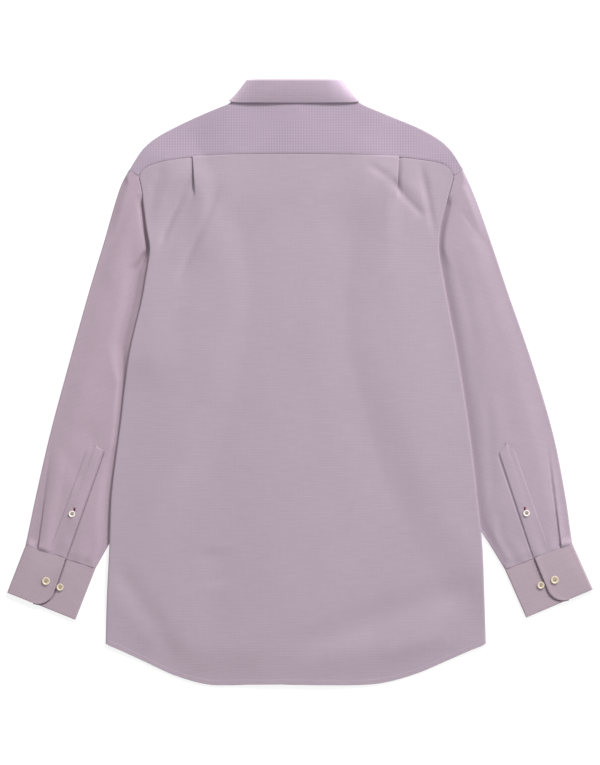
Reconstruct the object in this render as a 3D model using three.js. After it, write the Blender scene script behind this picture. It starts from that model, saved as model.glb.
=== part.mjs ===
// Long sleeve dress shirt, laid flat with its back up.
// Millimetres: X across the body, Y from the hem to the collar, Z up from the surface it lies on.
// The shirt's own left and right are used, which are the left and right of the layout too.
import * as THREE from 'three';

// Cloth and seams
const CLOTH = 1.0;
const COLLAR_CLOTH = 1.2;
const CUFF_CLOTH = 1.4;
const SEAM_GAP = 0.35;
const LAP_GAP = 0.5;

// How high the layers lie
const PRESSED_SLEEVE = 3.2;
const SLEEVE_LOFT = 2.7;
const SIDE_FOLD = 3.4;
const BODY_LOFT = 2.6;
const FRONT_BUTTON_ROOM = 2.7;
const COLLAR_ROOM = 3.3;
const LOFT_REACH = 90;

// Where the body's underside is raised: how far it stays up beside what lies under it, and its ramp down
const OVER_SLEEVE = { beside: 34, ramp: 40 };
const OVER_BUTTONS = { halfWidth: 62, ramp: 36 };
const OVER_COLLAR = { halfWidth: 150, ramp: 30, from: 650, climb: 35 };

// How far a sleeve takes to rise: beside the body, at its outer and inner edges, and from the cuff
const SLEEVE_RISE = { besideBody: 34, outer: 34, inner: 18, fromCuff: 80 };

// Fronts
const FRONT_LAP = 18;
const FRONT_YOKE_DEPTH = 34;
const NECK_HALF = 76;
const NECK_ACROSS = 0.31;
const FRONT_NECK_HEIGHT = 728;
const BACK_NECK_HEIGHT = 811;
const SHOULDER_POINT = 702.3;

// Collar
const COLLAR_CENTRE = -3;
const LEAF_EDGE_END = 152;
const LEAF_FOLD_END = 172;

// Buttons
const CUFF_BUTTON = { diameter: 11.4, thickness: 2.2 };
const COLLAR_BUTTON = { diameter: 10.0, thickness: 1.2 };
const SMALL_BUTTON = { diameter: 9.0, thickness: 2.0 };
const FRONT_BUTTON = { diameter: 11.4, thickness: 2.2 };
const FRONT_BUTTON_COUNT = 7;
const FRONT_BUTTON_LOWEST = 105;
const FRONT_BUTTON_PITCH = 95;
const COLLAR_BUTTON_HEIGHT = 748;
const BUTTON_HOLES = { count: 4, place: 0.26, radius: 0.13 };

// The body's side, from the hem corner to the yoke's end: half widths at each height
const BODY_SIDE = [
  { height: 56, left: 263.2, right: 261.5 },
  { height: 118, left: 261.5, right: 259.5 },
  { height: 194, left: 257.9, right: 256.3 },
  { height: 257, left: 255.7, right: 249.5 },
  { height: 299, left: 251.2, right: 245.0 },
  { height: 366, left: 242.2, right: 236.3 },
  { height: 412, left: 237.0, right: 229.3 },
  { height: 464, left: 229.3, right: 220.7 },
  { height: 532, left: 213.3, right: 208.1 },
  { height: 567, left: 207.3, right: 201.5 },
  { height: 602, left: 202.4, right: 196.7 },
  { height: 629, left: 206.5, right: 198.6 },
  { height: 662, left: 211.1, right: 206.4 },
  { height: 682, left: 213.2, right: 212.1 },
  { height: 702, left: 217.4, right: 217.4 },
];

// The hem's rise and the yoke seam's drop, across each half of the back
const BACK_ENDS = [
  { across: 0.0, hemLeft: 1.5, hemRight: 1.0, seamLeft: 733.4, seamRight: 733.4 },
  { across: 0.3, hemLeft: 0.8, hemRight: 0.2, seamLeft: 733.0, seamRight: 732.6 },
  { across: 0.46, hemLeft: 1.0, hemRight: 3.5, seamLeft: 732.0, seamRight: 731.4 },
  { across: 0.635, hemLeft: 13.4, hemRight: 16.3, seamLeft: 729.2, seamRight: 729.0 },
  { across: 0.8, hemLeft: 33.2, hemRight: 34.6, seamLeft: 724.8, seamRight: 724.9 },
  { across: 0.92, hemLeft: 47.8, hemRight: 48.3, seamLeft: 718.2, seamRight: 719.6 },
  { across: 0.98, hemLeft: 54.5, hemRight: 54.5, seamLeft: 710.0, seamRight: 711.0 },
  { across: 1.0, hemLeft: 56.9, hemRight: 56.9, seamLeft: 702.3, seamRight: 702.3 },
];

// The shoulder line, from under the collar out to the sleeve
const SHOULDER = [
  { across: 0.0, halfWidth: 0, height: 807.5 },
  { across: 0.3, halfWidth: 76, height: 809.0 },
  { across: 0.4, halfWidth: 97, height: 800.6 },
  { across: 0.52, halfWidth: 133, height: 785.8 },
  { across: 0.66, halfWidth: 168, height: 769.3 },
  { across: 0.8, halfWidth: 196, height: 753.2 },
  { across: 0.9, halfWidth: 213.5, height: 737.0 },
  { across: 1.0, halfWidth: 229.2, height: 712.5 },
];

// The sleeves' two edges, from the armhole to the cuff seam
const SLEEVE_LEFT = [
  { along: 0.0, outerX: 230.6, outerY: 711.5, innerX: 165, innerY: 668 },
  { along: 0.04, outerX: 240.4, outerY: 693, innerX: 152, innerY: 640 },
  { along: 0.1, outerX: 249.4, outerY: 667, innerX: 140, innerY: 598 },
  { along: 0.2, outerX: 264.6, outerY: 614, innerX: 130, innerY: 545 },
  { along: 0.34, outerX: 286.0, outerY: 543, innerX: 134, innerY: 478 },
  { along: 0.5, outerX: 312.8, outerY: 447, innerX: 165, innerY: 405 },
  { along: 0.68, outerX: 339.4, outerY: 348, innerX: 203, innerY: 308 },
  { along: 0.84, outerX: 358.7, outerY: 264, innerX: 237, innerY: 231 },
  { along: 0.94, outerX: 368.8, outerY: 216, innerX: 261, innerY: 190 },
  { along: 1.0, outerX: 373.6, outerY: 193.2, innerX: 277.1, innerY: 161.2 },
];
const SLEEVE_RIGHT = [
  { along: 0.0, outerX: 229.6, outerY: 711.5, innerX: 165, innerY: 668 },
  { along: 0.04, outerX: 239.4, outerY: 690, innerX: 152, innerY: 638 },
  { along: 0.1, outerX: 250.4, outerY: 663, innerX: 140, innerY: 596 },
  { along: 0.2, outerX: 269.4, outerY: 609, innerX: 131, innerY: 545 },
  { along: 0.34, outerX: 291.5, outerY: 543, innerX: 135, innerY: 480 },
  { along: 0.5, outerX: 325.0, outerY: 446, innerX: 169, innerY: 402 },
  { along: 0.68, outerX: 354.2, outerY: 347, innerX: 208, innerY: 311 },
  { along: 0.84, outerX: 371.0, outerY: 262, innerX: 242, innerY: 234 },
  { along: 0.94, outerX: 377.8, outerY: 215, innerX: 270, innerY: 189 },
  { along: 1.0, outerX: 380.6, outerY: 195.8, innerX: 287.7, innerY: 159.7 },
];

// The collar round the neck, in degrees from the middle of the back: the leaf's fold and lower edge,
// and the line where the stand meets the neck
const COLLAR = [
  { around: 0, foldX: 0, foldY: 834.8, foldZ: 27, edgeX: 0, edgeY: 803.2, edgeZ: 12.0,
    neckX: 0, neckY: 808.4, neckZ: 8.8 },
  { around: 50, foldX: 43, foldY: 834.8, foldZ: 25.5, edgeX: 55, edgeY: 803.4, edgeZ: 11.4,
    neckX: 50, neckY: 810.4, neckZ: 7.2 },
  { around: 75, foldX: 57.6, foldY: 834.7, foldZ: 21, edgeX: 81, edgeY: 803.8, edgeZ: 9.8,
    neckX: 69, neckY: 812.0, neckZ: 6.2 },
  { around: 84, foldX: 62.4, foldY: 834.4, foldZ: 17, edgeX: 88.6, edgeY: 805.2, edgeZ: 8.8,
    neckX: 72, neckY: 811.2, neckZ: 5.5 },
  { around: 95, foldX: 66.6, foldY: 833, foldZ: 9.5, edgeX: 89.4, edgeY: 807.2, edgeZ: 3.4,
    neckX: 73.3, neckY: 807.5, neckZ: 4.1 },
  { around: 106, foldX: 66, foldY: 821, foldZ: 1.6, edgeX: 87, edgeY: 801, edgeZ: 0,
    neckX: 73.4, neckY: 794, neckZ: 2.7 },
  { around: 122, foldX: 56, foldY: 797, foldZ: 0, edgeX: 76, edgeY: 764, edgeZ: 0,
    neckX: 71.5, neckY: 766, neckZ: 2.6 },
  { around: 138, foldX: 42, foldY: 781, foldZ: 0, edgeX: 64, edgeY: 735, edgeZ: 0,
    neckX: 59, neckY: 748, neckZ: 2.6 },
  { around: 152, foldX: 26, foldY: 771, foldZ: 0, edgeX: 52, edgeY: 712, edgeZ: 0,
    neckX: 38, neckY: 737, neckZ: 2.6 },
  { around: 172, foldX: 5, foldY: 765, foldZ: 0, edgeX: 40, edgeY: 700, edgeZ: 0,
    neckX: 6, neckY: 731, neckZ: 2.6 },
  { around: 180, foldX: -9, foldY: 765, foldZ: 0, edgeX: 36, edgeY: 700, edgeZ: 0,
    neckX: -10, neckY: 731, neckZ: 2.6 },
];
const STAND_FOLD_IN = 4.4;

// The cuffs: the far ends of their outer and inner edges, and where the upper layer ends across them
const CUFFS = {
  left: { outerX: 399.0, outerY: 127.9, innerX: 304.8, innerY: 90.3, lapAtSeam: 0.57, lapAtEnd: 0.6 },
  right: { outerX: 409.0, outerY: 132.4, innerX: 317.0, innerY: 93.5, lapAtSeam: 0.56, lapAtEnd: 0.58 },
};
const CUFF_BUTTONS = {
  left: { outerX: 345.3, outerY: 143.8, innerX: 326.0, innerY: 135.4 },
  right: { outerX: 356.2, outerY: 145.5, innerX: 337.2, innerY: 138.1 },
};
const CUFF_UNDER_TOP = 2 * CUFF_CLOTH + 0.8;
const CUFF_LAP_TOP = CUFF_UNDER_TOP + LAP_GAP + CUFF_CLOTH;
const CUFF_UNDERLAP = 26;
const CUFF_CORNER = 16;

// The sleeve plackets: the middle of the box end, the point and the two corners on the cuff seam
const GAUNTLETS = {
  left: { apexX: 276.1, apexY: 333.0, farX: 288.2, farY: 328.3, nearX: 266.9, nearY: 324.8,
    seamFarX: 340.4, seamFarY: 185.0, seamNearX: 319.2, seamNearY: 175.2, buttonX: 309.4, buttonY: 236.5 },
  right: { apexX: 288.6, apexY: 334.8, farX: 298.8, farY: 330.2, nearX: 279.3, nearY: 321.0,
    seamFarX: 349.0, seamFarY: 186.0, seamNearX: 327.2, seamNearY: 176.0, buttonX: 317.2, buttonY: 237.5 },
};

// Folds that show on the outside: a trough or a step along a line, in the layout's X and Y
const BACK_PLEATS = [
  { topX: -143.7, topY: 734, endX: -138.5, endY: 640, step: 1.7 },
  { topX: 142.2, topY: 734, endX: 137.5, endY: 640, step: 1.7 },
];
const BACK_PLEAT_REACH = { inward: 55, top: 733 };
const FOLD_FADE = 24;
const BACK_FOLDS = [
  { fromX: -149, fromY: 690, toX: -192, toY: 612, width: 11, depth: 1.6 },
  { fromX: 118, fromY: 708, toX: 170, toY: 650, width: 11, depth: 1.6 },
  { fromX: 168, fromY: 718, toX: 194, toY: 625, width: 8, depth: 1.4 },
  { fromX: -120, fromY: 330, toX: -215, toY: 130, width: 26, depth: 1.5 },
  { fromX: 105, fromY: 350, toX: 205, toY: 120, width: 26, depth: 1.5 },
  { fromX: -20, fromY: 560, toX: 30, toY: 200, width: 40, depth: 1.2 },
];
const SLEEVE_PLEATS = {
  left: { topX: 332, topY: 366, endX: 355.6, endY: 190, step: 1.5 },
  right: { topX: 345.8, topY: 348, endX: 365.2, endY: 193, step: 1.5 },
};
const SLEEVE_PLEAT_REACH = 26;
const SLEEVE_FOLDS = {
  left: { fromX: 224, fromY: 625, toX: 226, toY: 480, width: 12, depth: 1.6 },
  right: { fromX: 231, fromY: 568, toX: 250, toY: 214, width: 12, depth: 1.6 },
};

// Colours
const SHIRTING = new THREE.Color('#baa8b8');
const IVORY = new THREE.Color('#efe9dc');

function shirtingMaterial() {
  return new THREE.MeshStandardMaterial({ color: SHIRTING, roughness: 0.85, metalness: 0 });
}

function buttonMaterial() {
  return new THREE.MeshStandardMaterial({ color: IVORY, roughness: 0.35, metalness: 0 });
}

function mix(a, b, t) {
  return a + (b - a) * t;
}

function smooth(t) {
  const c = Math.min(1, Math.max(0, t));
  return c * c * (3 - 2 * c);
}

// Reads a named column of a table at a place along another column, on a smooth curve through its rows
function readTable(table, key, column, at) {
  const rising = table[table.length - 1][key] > table[0][key];
  const last = table.length - 2;
  let i = 0;
  while (i < last && (rising ? at > table[i + 1][key] : at < table[i + 1][key])) i += 1;
  const rows = [table[Math.max(0, i - 1)], table[i], table[i + 1], table[Math.min(last + 1, i + 2)]];
  const span = rows[2][key] - rows[1][key];
  const t = Math.min(1, Math.max(0, (at - rows[1][key]) / span));
  const slope = (a, b) => (b[key] === a[key] ? 0 : (b[column] - a[column]) / (b[key] - a[key]));
  const start = slope(rows[0], rows[2]) * span;
  const end = slope(rows[1], rows[3]) * span;
  const t2 = t * t;
  const t3 = t2 * t;
  return (2 * t3 - 3 * t2 + 1) * rows[1][column] + (t3 - 2 * t2 + t) * start
    + (3 * t2 - 2 * t3) * rows[2][column] + (t3 - t2) * end;
}

// A closed wall between two grids of points; keep says which cells the cloth fills
function closedWall(outer, inner, { wrap = false, keep = () => true } = {}) {
  const rows = outer.length;
  const columns = outer[0].length;
  const cellColumns = wrap ? columns : columns - 1;
  const positions = [];
  for (const grid of [outer, inner]) {
    for (const row of grid) for (const p of row) positions.push(p.x, p.y, p.z);
  }
  const at = (layer, row, column) => (layer * rows + row) * columns + (column % columns);
  const filled = (row, column) => {
    if (row < 0 || row >= rows - 1) return false;
    if (wrap) return keep(row, (column + cellColumns) % cellColumns);
    return column >= 0 && column < cellColumns && keep(row, column);
  };
  const faces = [];
  const quad = (a, b, c, d) => faces.push(a, b, c, a, c, d);
  for (let r = 0; r < rows - 1; r += 1) {
    for (let c = 0; c < cellColumns; c += 1) {
      if (!filled(r, c)) continue;
      const corner = (layer, dr, dc) => at(layer, r + dr, c + dc);
      quad(corner(0, 0, 0), corner(0, 0, 1), corner(0, 1, 1), corner(0, 1, 0));
      quad(corner(1, 0, 0), corner(1, 1, 0), corner(1, 1, 1), corner(1, 0, 1));
      if (!filled(r - 1, c)) quad(corner(0, 0, 0), corner(1, 0, 0), corner(1, 0, 1), corner(0, 0, 1));
      if (!filled(r + 1, c)) quad(corner(0, 1, 1), corner(1, 1, 1), corner(1, 1, 0), corner(0, 1, 0));
      if (!filled(r, c - 1)) quad(corner(0, 1, 0), corner(1, 1, 0), corner(1, 0, 0), corner(0, 0, 0));
      if (!filled(r, c + 1)) quad(corner(0, 0, 1), corner(1, 0, 1), corner(1, 1, 1), corner(0, 1, 1));
    }
  }
  return solidFrom(positions, faces);
}

// Drops unused points, turns the faces outward and returns the geometry
function solidFrom(positions, faces) {
  const kept = new Map();
  const points = [];
  const index = faces.map((i) => {
    if (!kept.has(i)) {
      kept.set(i, points.length / 3);
      points.push(positions[3 * i], positions[3 * i + 1], positions[3 * i + 2]);
    }
    return kept.get(i);
  });
  const [a, b, c] = [new THREE.Vector3(), new THREE.Vector3(), new THREE.Vector3()];
  let volume = 0;
  for (let f = 0; f < index.length; f += 3) {
    a.fromArray(points, 3 * index[f]);
    b.fromArray(points, 3 * index[f + 1]);
    c.fromArray(points, 3 * index[f + 2]);
    volume += a.dot(b.cross(c));
  }
  if (volume < 0) {
    for (let f = 0; f < index.length; f += 3) [index[f], index[f + 1]] = [index[f + 1], index[f]];
  }
  const geometry = new THREE.BufferGeometry();
  geometry.setAttribute('position', new THREE.Float32BufferAttribute(points, 3));
  geometry.setIndex(index);
  geometry.computeVertexNormals();
  return geometry;
}

// The grid's points moved along its own normals
function movedOut(grid, distance, wrap = false) {
  const rows = grid.length;
  const columns = grid[0].length;
  const pick = (r, c) => grid[Math.min(rows - 1, Math.max(0, r))][
    wrap ? (c + columns) % columns : Math.min(columns - 1, Math.max(0, c))];
  return grid.map((row, r) => row.map((p, c) => {
    const across = pick(r, c + 1).clone().sub(pick(r, c - 1));
    const along = pick(r + 1, c).clone().sub(pick(r - 1, c));
    return p.clone().addScaledVector(across.cross(along).normalize(), distance);
  }));
}

function mesh(name, geometry, material) {
  const part = new THREE.Mesh(geometry, material);
  part.name = name;
  return part;
}

// A side's sign in the layout: the left lies at negative X
const signOf = (side) => (side === 'left' ? -1 : 1);
const sideOf = (x) => (x < 0 ? 'left' : 'right');

function bodyHalf(side, height) {
  return readTable(BODY_SIDE, 'height', side, height);
}

function sleeveTable(side) {
  return side === 'left' ? SLEEVE_LEFT : SLEEVE_RIGHT;
}

// How far a point is outside the area under a sleeve, in plan
function distanceFromSleeve(x, y) {
  const table = sleeveTable(sideOf(x));
  const loop = table.map((row) => [row.outerX, row.outerY]);
  loop.push(...table.map((row) => [row.innerX, row.innerY]).reverse());
  const px = Math.abs(x);
  let inside = false;
  let nearest = Infinity;
  loop.forEach(([ax, ay], i) => {
    const [bx, by] = loop[(i + 1) % loop.length];
    if ((ay > y) !== (by > y) && px < ((bx - ax) * (y - ay)) / (by - ay) + ax) inside = !inside;
    const t = Math.min(1, Math.max(0, ((px - ax) * (bx - ax) + (y - ay) * (by - ay))
      / ((bx - ax) ** 2 + (by - ay) ** 2)));
    nearest = Math.min(nearest, Math.hypot(px - mix(ax, bx, t), y - mix(ay, by, t)));
  });
  return inside ? 0 : nearest;
}

// The lowest face of the body's underside: over the sleeves, the front buttons and the collar's points
function bodyFloor(x, y) {
  const overSleeve = (PRESSED_SLEEVE + LAP_GAP)
    * (1 - smooth((distanceFromSleeve(x, y) - OVER_SLEEVE.beside) / OVER_SLEEVE.ramp));
  const overButtons = FRONT_BUTTON_ROOM * smooth((OVER_BUTTONS.halfWidth - Math.abs(x)) / OVER_BUTTONS.ramp);
  const overCollar = COLLAR_ROOM * smooth((OVER_COLLAR.halfWidth - Math.abs(x)) / OVER_COLLAR.ramp)
    * smooth((y - OVER_COLLAR.from) / OVER_COLLAR.climb);
  return Math.max(overSleeve, overButtons, overCollar);
}

// How far a point is from a fold's line, and how far along the line it is
function besideLine(x, y, ax, ay, bx, by) {
  const length = Math.hypot(bx - ax, by - ay);
  const [ux, uy] = [(bx - ax) / length, (by - ay) / length];
  return { along: ((x - ax) * ux + (y - ay) * uy) / length, beside: (x - ax) * uy - (y - ay) * ux };
}

// A soft trough, deepest halfway along its line
function trough(x, y, fold) {
  const { along, beside } = besideLine(x, y, fold.fromX, fold.fromY, fold.toX, fold.toY);
  const fade = smooth(along / 0.3 + 0.4) * smooth((1 - along) / 0.3 + 0.4);
  return -fold.depth * fade * Math.exp(-((beside / fold.width) ** 2));
}

// A pressed pleat: the cloth rises towards its fold and drops sharply outside it
function pleat(x, y, fold, reach, side) {
  const { along, beside } = besideLine(x, y, fold.topX, fold.topY, fold.endX, fold.endY);
  const outward = beside * side;
  const fade = smooth(along / 0.08 + 1) * smooth(1 - along);
  if (outward > 1.2) return 0;
  return fold.step * fade * smooth(1 + outward / reach) * smooth((1.2 - outward) / 1.6);
}

// Top face of the back and yoke
function bodyTop(x, y) {
  const side = sideOf(x);
  const fromSide = bodyHalf(side, y) - Math.abs(x);
  const fromShoulder = Math.abs(x) > NECK_HALF
    ? readTable(SHOULDER, 'halfWidth', 'height', Math.abs(x)) - y
    : Math.hypot(NECK_HALF - Math.abs(x), BACK_NECK_HEIGHT - y);
  const fromEdge = Math.min(fromSide, fromShoulder);
  const lofted = BODY_LOFT * smooth(fromEdge / LOFT_REACH);
  const folds = BACK_FOLDS.reduce((sum, fold) => sum + trough(x, y, fold), 0) * smooth(fromEdge / FOLD_FADE);
  const underYoke = y < BACK_PLEAT_REACH.top;
  const pleats = underYoke ? BACK_PLEATS.reduce(
    (sum, fold) => sum + pleat(x, y, fold, BACK_PLEAT_REACH.inward, Math.sign(fold.topX) * -1), 0) : 0;
  return bodyFloor(x, y) + SIDE_FOLD + lofted + folds + pleats;
}

// Stations across the body, closer at the pleats
function bodyStations() {
  const half = [0.1, 0.2, 0.31, 0.42, 0.53, 0.6, 0.645, 0.655, 0.665, 0.71, 0.78, 0.86, 0.93];
  return [...half.map((u) => -u).reverse(), 0, ...half];
}

// A half round at a folded edge: steps from the top face, over the edge, to the underside
const FOLD_STEPS = [0, 0.25, 0.5, 0.75, 1];

function foldPoint(edge, inward, floor, step) {
  const angle = step * Math.PI;
  const radius = SIDE_FOLD / 2;
  const out = radius * Math.sin(angle) - radius;
  return new THREE.Vector3(edge.x - inward.x * out, edge.y - inward.y * out,
    floor + radius + radius * Math.cos(angle));
}

function backRow(v) {
  const row = [];
  const heightAt = (side, u) => mix(
    readTable(BACK_ENDS, 'across', side === 'left' ? 'hemLeft' : 'hemRight', u),
    readTable(BACK_ENDS, 'across', side === 'left' ? 'seamLeft' : 'seamRight', u) - SEAM_GAP, v);
  const edgeFold = (side) => {
    const y = heightAt(side, 1);
    const sign = signOf(side);
    const edge = { x: sign * bodyHalf(side, y), y };
    return FOLD_STEPS.map((step) => foldPoint(edge, { x: -sign, y: 0 }, bodyFloor(edge.x, y), step));
  };
  row.push(...edgeFold('left').reverse());
  for (const u of bodyStations()) {
    const side = sideOf(u);
    const y = heightAt(side, Math.abs(u));
    const x = u * bodyHalf(side, y);
    row.push(new THREE.Vector3(x, y, bodyTop(x, y)));
  }
  row.push(...edgeFold('right'));
  return row;
}

// Rows up the body, closer under the yoke; the back and the fronts share them
const BODY_ROWS = Array.from({ length: 24 }, (_, i) => 1 - (1 - i / 23) ** 1.35);

function back() {
  const rows = BODY_ROWS.map(backRow);
  return closedWall(rows, movedOut(rows, -CLOTH));
}

// The seam on the underside between the yoke and a front
function frontSeam(halfWidth) {
  const shoulder = readTable(SHOULDER, 'halfWidth', 'height', halfWidth);
  return Math.max(shoulder - FRONT_YOKE_DEPTH, SHOULDER_POINT + SEAM_GAP);
}

// The yoke: up from the back seam, over the shoulder line and down to the front seam
function yoke() {
  const half = [0.1, 0.2, NECK_ACROSS, 0.42, 0.53, 0.6, 0.645, 0.665, 0.71, 0.78, 0.86, 0.93, 0.955, 1];
  const columns = [...half.map((u) => -u).reverse(), 0, ...half];
  const climb = [0, 0.14, 0.3, 0.5, 0.7, 0.86];
  const grid = [];
  const place = (u) => {
    const side = sideOf(u);
    const a = Math.abs(u);
    const seam = side === 'left' ? 'seamLeft' : 'seamRight';
    return {
      sign: Math.sign(u) || 1,
      low: { x: bodyHalf(side, 702) * a, y: readTable(BACK_ENDS, 'across', seam, a) },
      high: {
        x: readTable(SHOULDER, 'across', 'halfWidth', a),
        y: readTable(SHOULDER, 'across', 'height', a),
      },
      inNeck: a < NECK_ACROSS,
    };
  };
  const radius = SIDE_FOLD / 2;
  for (const v of climb) {
    grid.push(columns.map((u) => {
      const { sign, low, high } = place(u);
      const x = sign * mix(low.x, high.x, v);
      const y = mix(low.y, high.y - radius, v);
      return new THREE.Vector3(x, y, bodyTop(x, y));
    }));
  }
  for (const step of FOLD_STEPS) {
    grid.push(columns.map((u) => {
      const { sign, high, inNeck } = place(u);
      if (inNeck) {
        return new THREE.Vector3(sign * high.x, high.y, bodyTop(sign * high.x, high.y));
      }
      const angle = step * Math.PI;
      const floor = bodyFloor(sign * high.x, high.y);
      return new THREE.Vector3(sign * high.x, high.y - radius + radius * Math.sin(angle),
        floor + radius + radius * Math.cos(angle));
    }));
  }
  for (const down of [0.5, 1]) {
    grid.push(columns.map((u) => {
      const { sign, high } = place(u);
      const y = mix(high.y - radius, frontSeam(high.x), down);
      return new THREE.Vector3(sign * high.x, y, bodyFloor(sign * high.x, y));
    }));
  }
  const neckRow = climb.length;
  const overNeck = (column) => Math.abs(columns[column] + columns[column + 1]) / 2 < NECK_ACROSS;
  return closedWall(grid, movedOut(grid, -CLOTH), {
    keep: (row, column) => row < neckRow || !overNeck(column),
  });
}

// One front: from the lap at the middle out to the side fold, hem to neckline and yoke seam
function front(side) {
  const sign = signOf(side);
  const rows = [];
  const sideInset = SIDE_FOLD / 2 + 2.5 * SEAM_GAP;
  const across = [0, 0.08, 0.17, 0.27, 0.33, 0.42, 0.54, 0.7, 0.86, 1];
  const hem = side === 'left' ? 'hemLeft' : 'hemRight';
  const topAt = (x) => {
    const seam = frontSeam(Math.max(x, NECK_HALF)) - SEAM_GAP * mix(2.5, 8, smooth((x - 175) / 25));
    const dip = 1 - Math.sqrt(Math.max(0, 1 - (Math.min(x, NECK_HALF) / NECK_HALF) ** 2));
    return mix(FRONT_NECK_HEIGHT, seam, x < NECK_HALF ? dip : 1);
  };
  for (const v of BODY_ROWS) {
    rows.push(across.map((t) => {
      const y0 = readTable(BACK_ENDS, 'across', hem, t);
      const x0 = mix(-FRONT_LAP, bodyHalf(side, mix(y0, SHOULDER_POINT, v)) - sideInset, t);
      const y = mix(y0, t === 1 ? SHOULDER_POINT - SEAM_GAP : topAt(Math.abs(x0)), v);
      const x = mix(-FRONT_LAP, bodyHalf(side, y) - sideInset, t);
      const lap = side === 'right' ? (CLOTH + LAP_GAP) * smooth((FRONT_LAP * 2.4 - x) / FRONT_LAP) : 0;
      return new THREE.Vector3(sign * x, y, bodyFloor(x * sign, y) + lap);
    }));
  }
  const raised = rows.map((row) => row.map((p) => p.clone().setZ(p.z + CLOTH)));
  return closedWall(rows, raised);
}

// Top face of a sleeve at a place in plan, with x as the distance from the middle
function sleeveTop(side, x, y) {
  const table = sleeveTable(side);
  const outer = readTable(table, 'outerY', 'outerX', y);
  const inner = readTable(table, 'innerY', 'innerX', y);
  const bodyY = Math.min(702, Math.max(57, y));
  const clear = smooth((x - bodyHalf(side, bodyY) - 3) / SLEEVE_RISE.besideBody);
  const fromEdges = smooth((outer - x - 1) / SLEEVE_RISE.outer) * smooth((x - inner - 1) / SLEEVE_RISE.inner);
  const fold = trough(x, y, SLEEVE_FOLDS[side]) * clear;
  const tuck = pleat(x, y, SLEEVE_PLEATS[side], SLEEVE_PLEAT_REACH, -1);
  const last = table.at(-1);
  const fromCuff = besideLine(x, y, last.outerX, last.outerY, last.innerX, last.innerY).beside;
  const loft = SLEEVE_LOFT * mix(0.5, 1, smooth(Math.abs(fromCuff) / SLEEVE_RISE.fromCuff));
  return PRESSED_SLEEVE + (loft + fold + tuck) * clear * fromEdges;
}

// Places across a flattened ring, from its outer edge: a half round at each end, then top or underside
function sleeveRing(side, along, inset) {
  const table = sleeveTable(side);
  const read = (column) => readTable(table, 'along', column, along);
  const outer = new THREE.Vector2(read('outerX'), read('outerY'));
  const inner = new THREE.Vector2(read('innerX'), read('innerY'));
  const width = outer.distanceTo(inner);
  const radius = PRESSED_SLEEVE / 2;
  const small = radius - inset;
  const sign = signOf(side);
  const at = (distance, z) => {
    const p = outer.clone().lerp(inner, distance / width);
    return new THREE.Vector3(sign * p.x, p.y, z);
  };
  const loop = [];
  const half = [0.2, 0.5, 0.8];
  const topStations = [0, 0.05, 0.11, 0.17, 0.23, 0.3, 0.38, 0.47, 0.57, 0.68, 0.82, 1];
  for (const t of topStations) {
    const distance = mix(radius, width - radius, t);
    const p = outer.clone().lerp(inner, distance / width);
    loop.push(at(distance, sleeveTop(side, p.x, p.y) - inset));
  }
  for (const t of half) {
    const angle = t * Math.PI;
    loop.push(at(width - radius + small * Math.sin(angle), radius + small * Math.cos(angle)));
  }
  for (const t of [1, 0.75, 0.5, 0.25, 0]) loop.push(at(mix(radius, width - radius, t), inset));
  for (const t of half) {
    const angle = t * Math.PI;
    loop.push(at(radius - small * Math.sin(angle), radius - small * Math.cos(angle)));
  }
  return loop;
}

function sleeve(side) {
  const rings = 24;
  const outer = [];
  const inner = [];
  for (let i = 0; i <= rings; i += 1) {
    outer.push(sleeveRing(side, i / rings, 0));
    inner.push(sleeveRing(side, i / rings, CLOTH));
  }
  return closedWall(outer, inner, { wrap: true });
}

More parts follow.
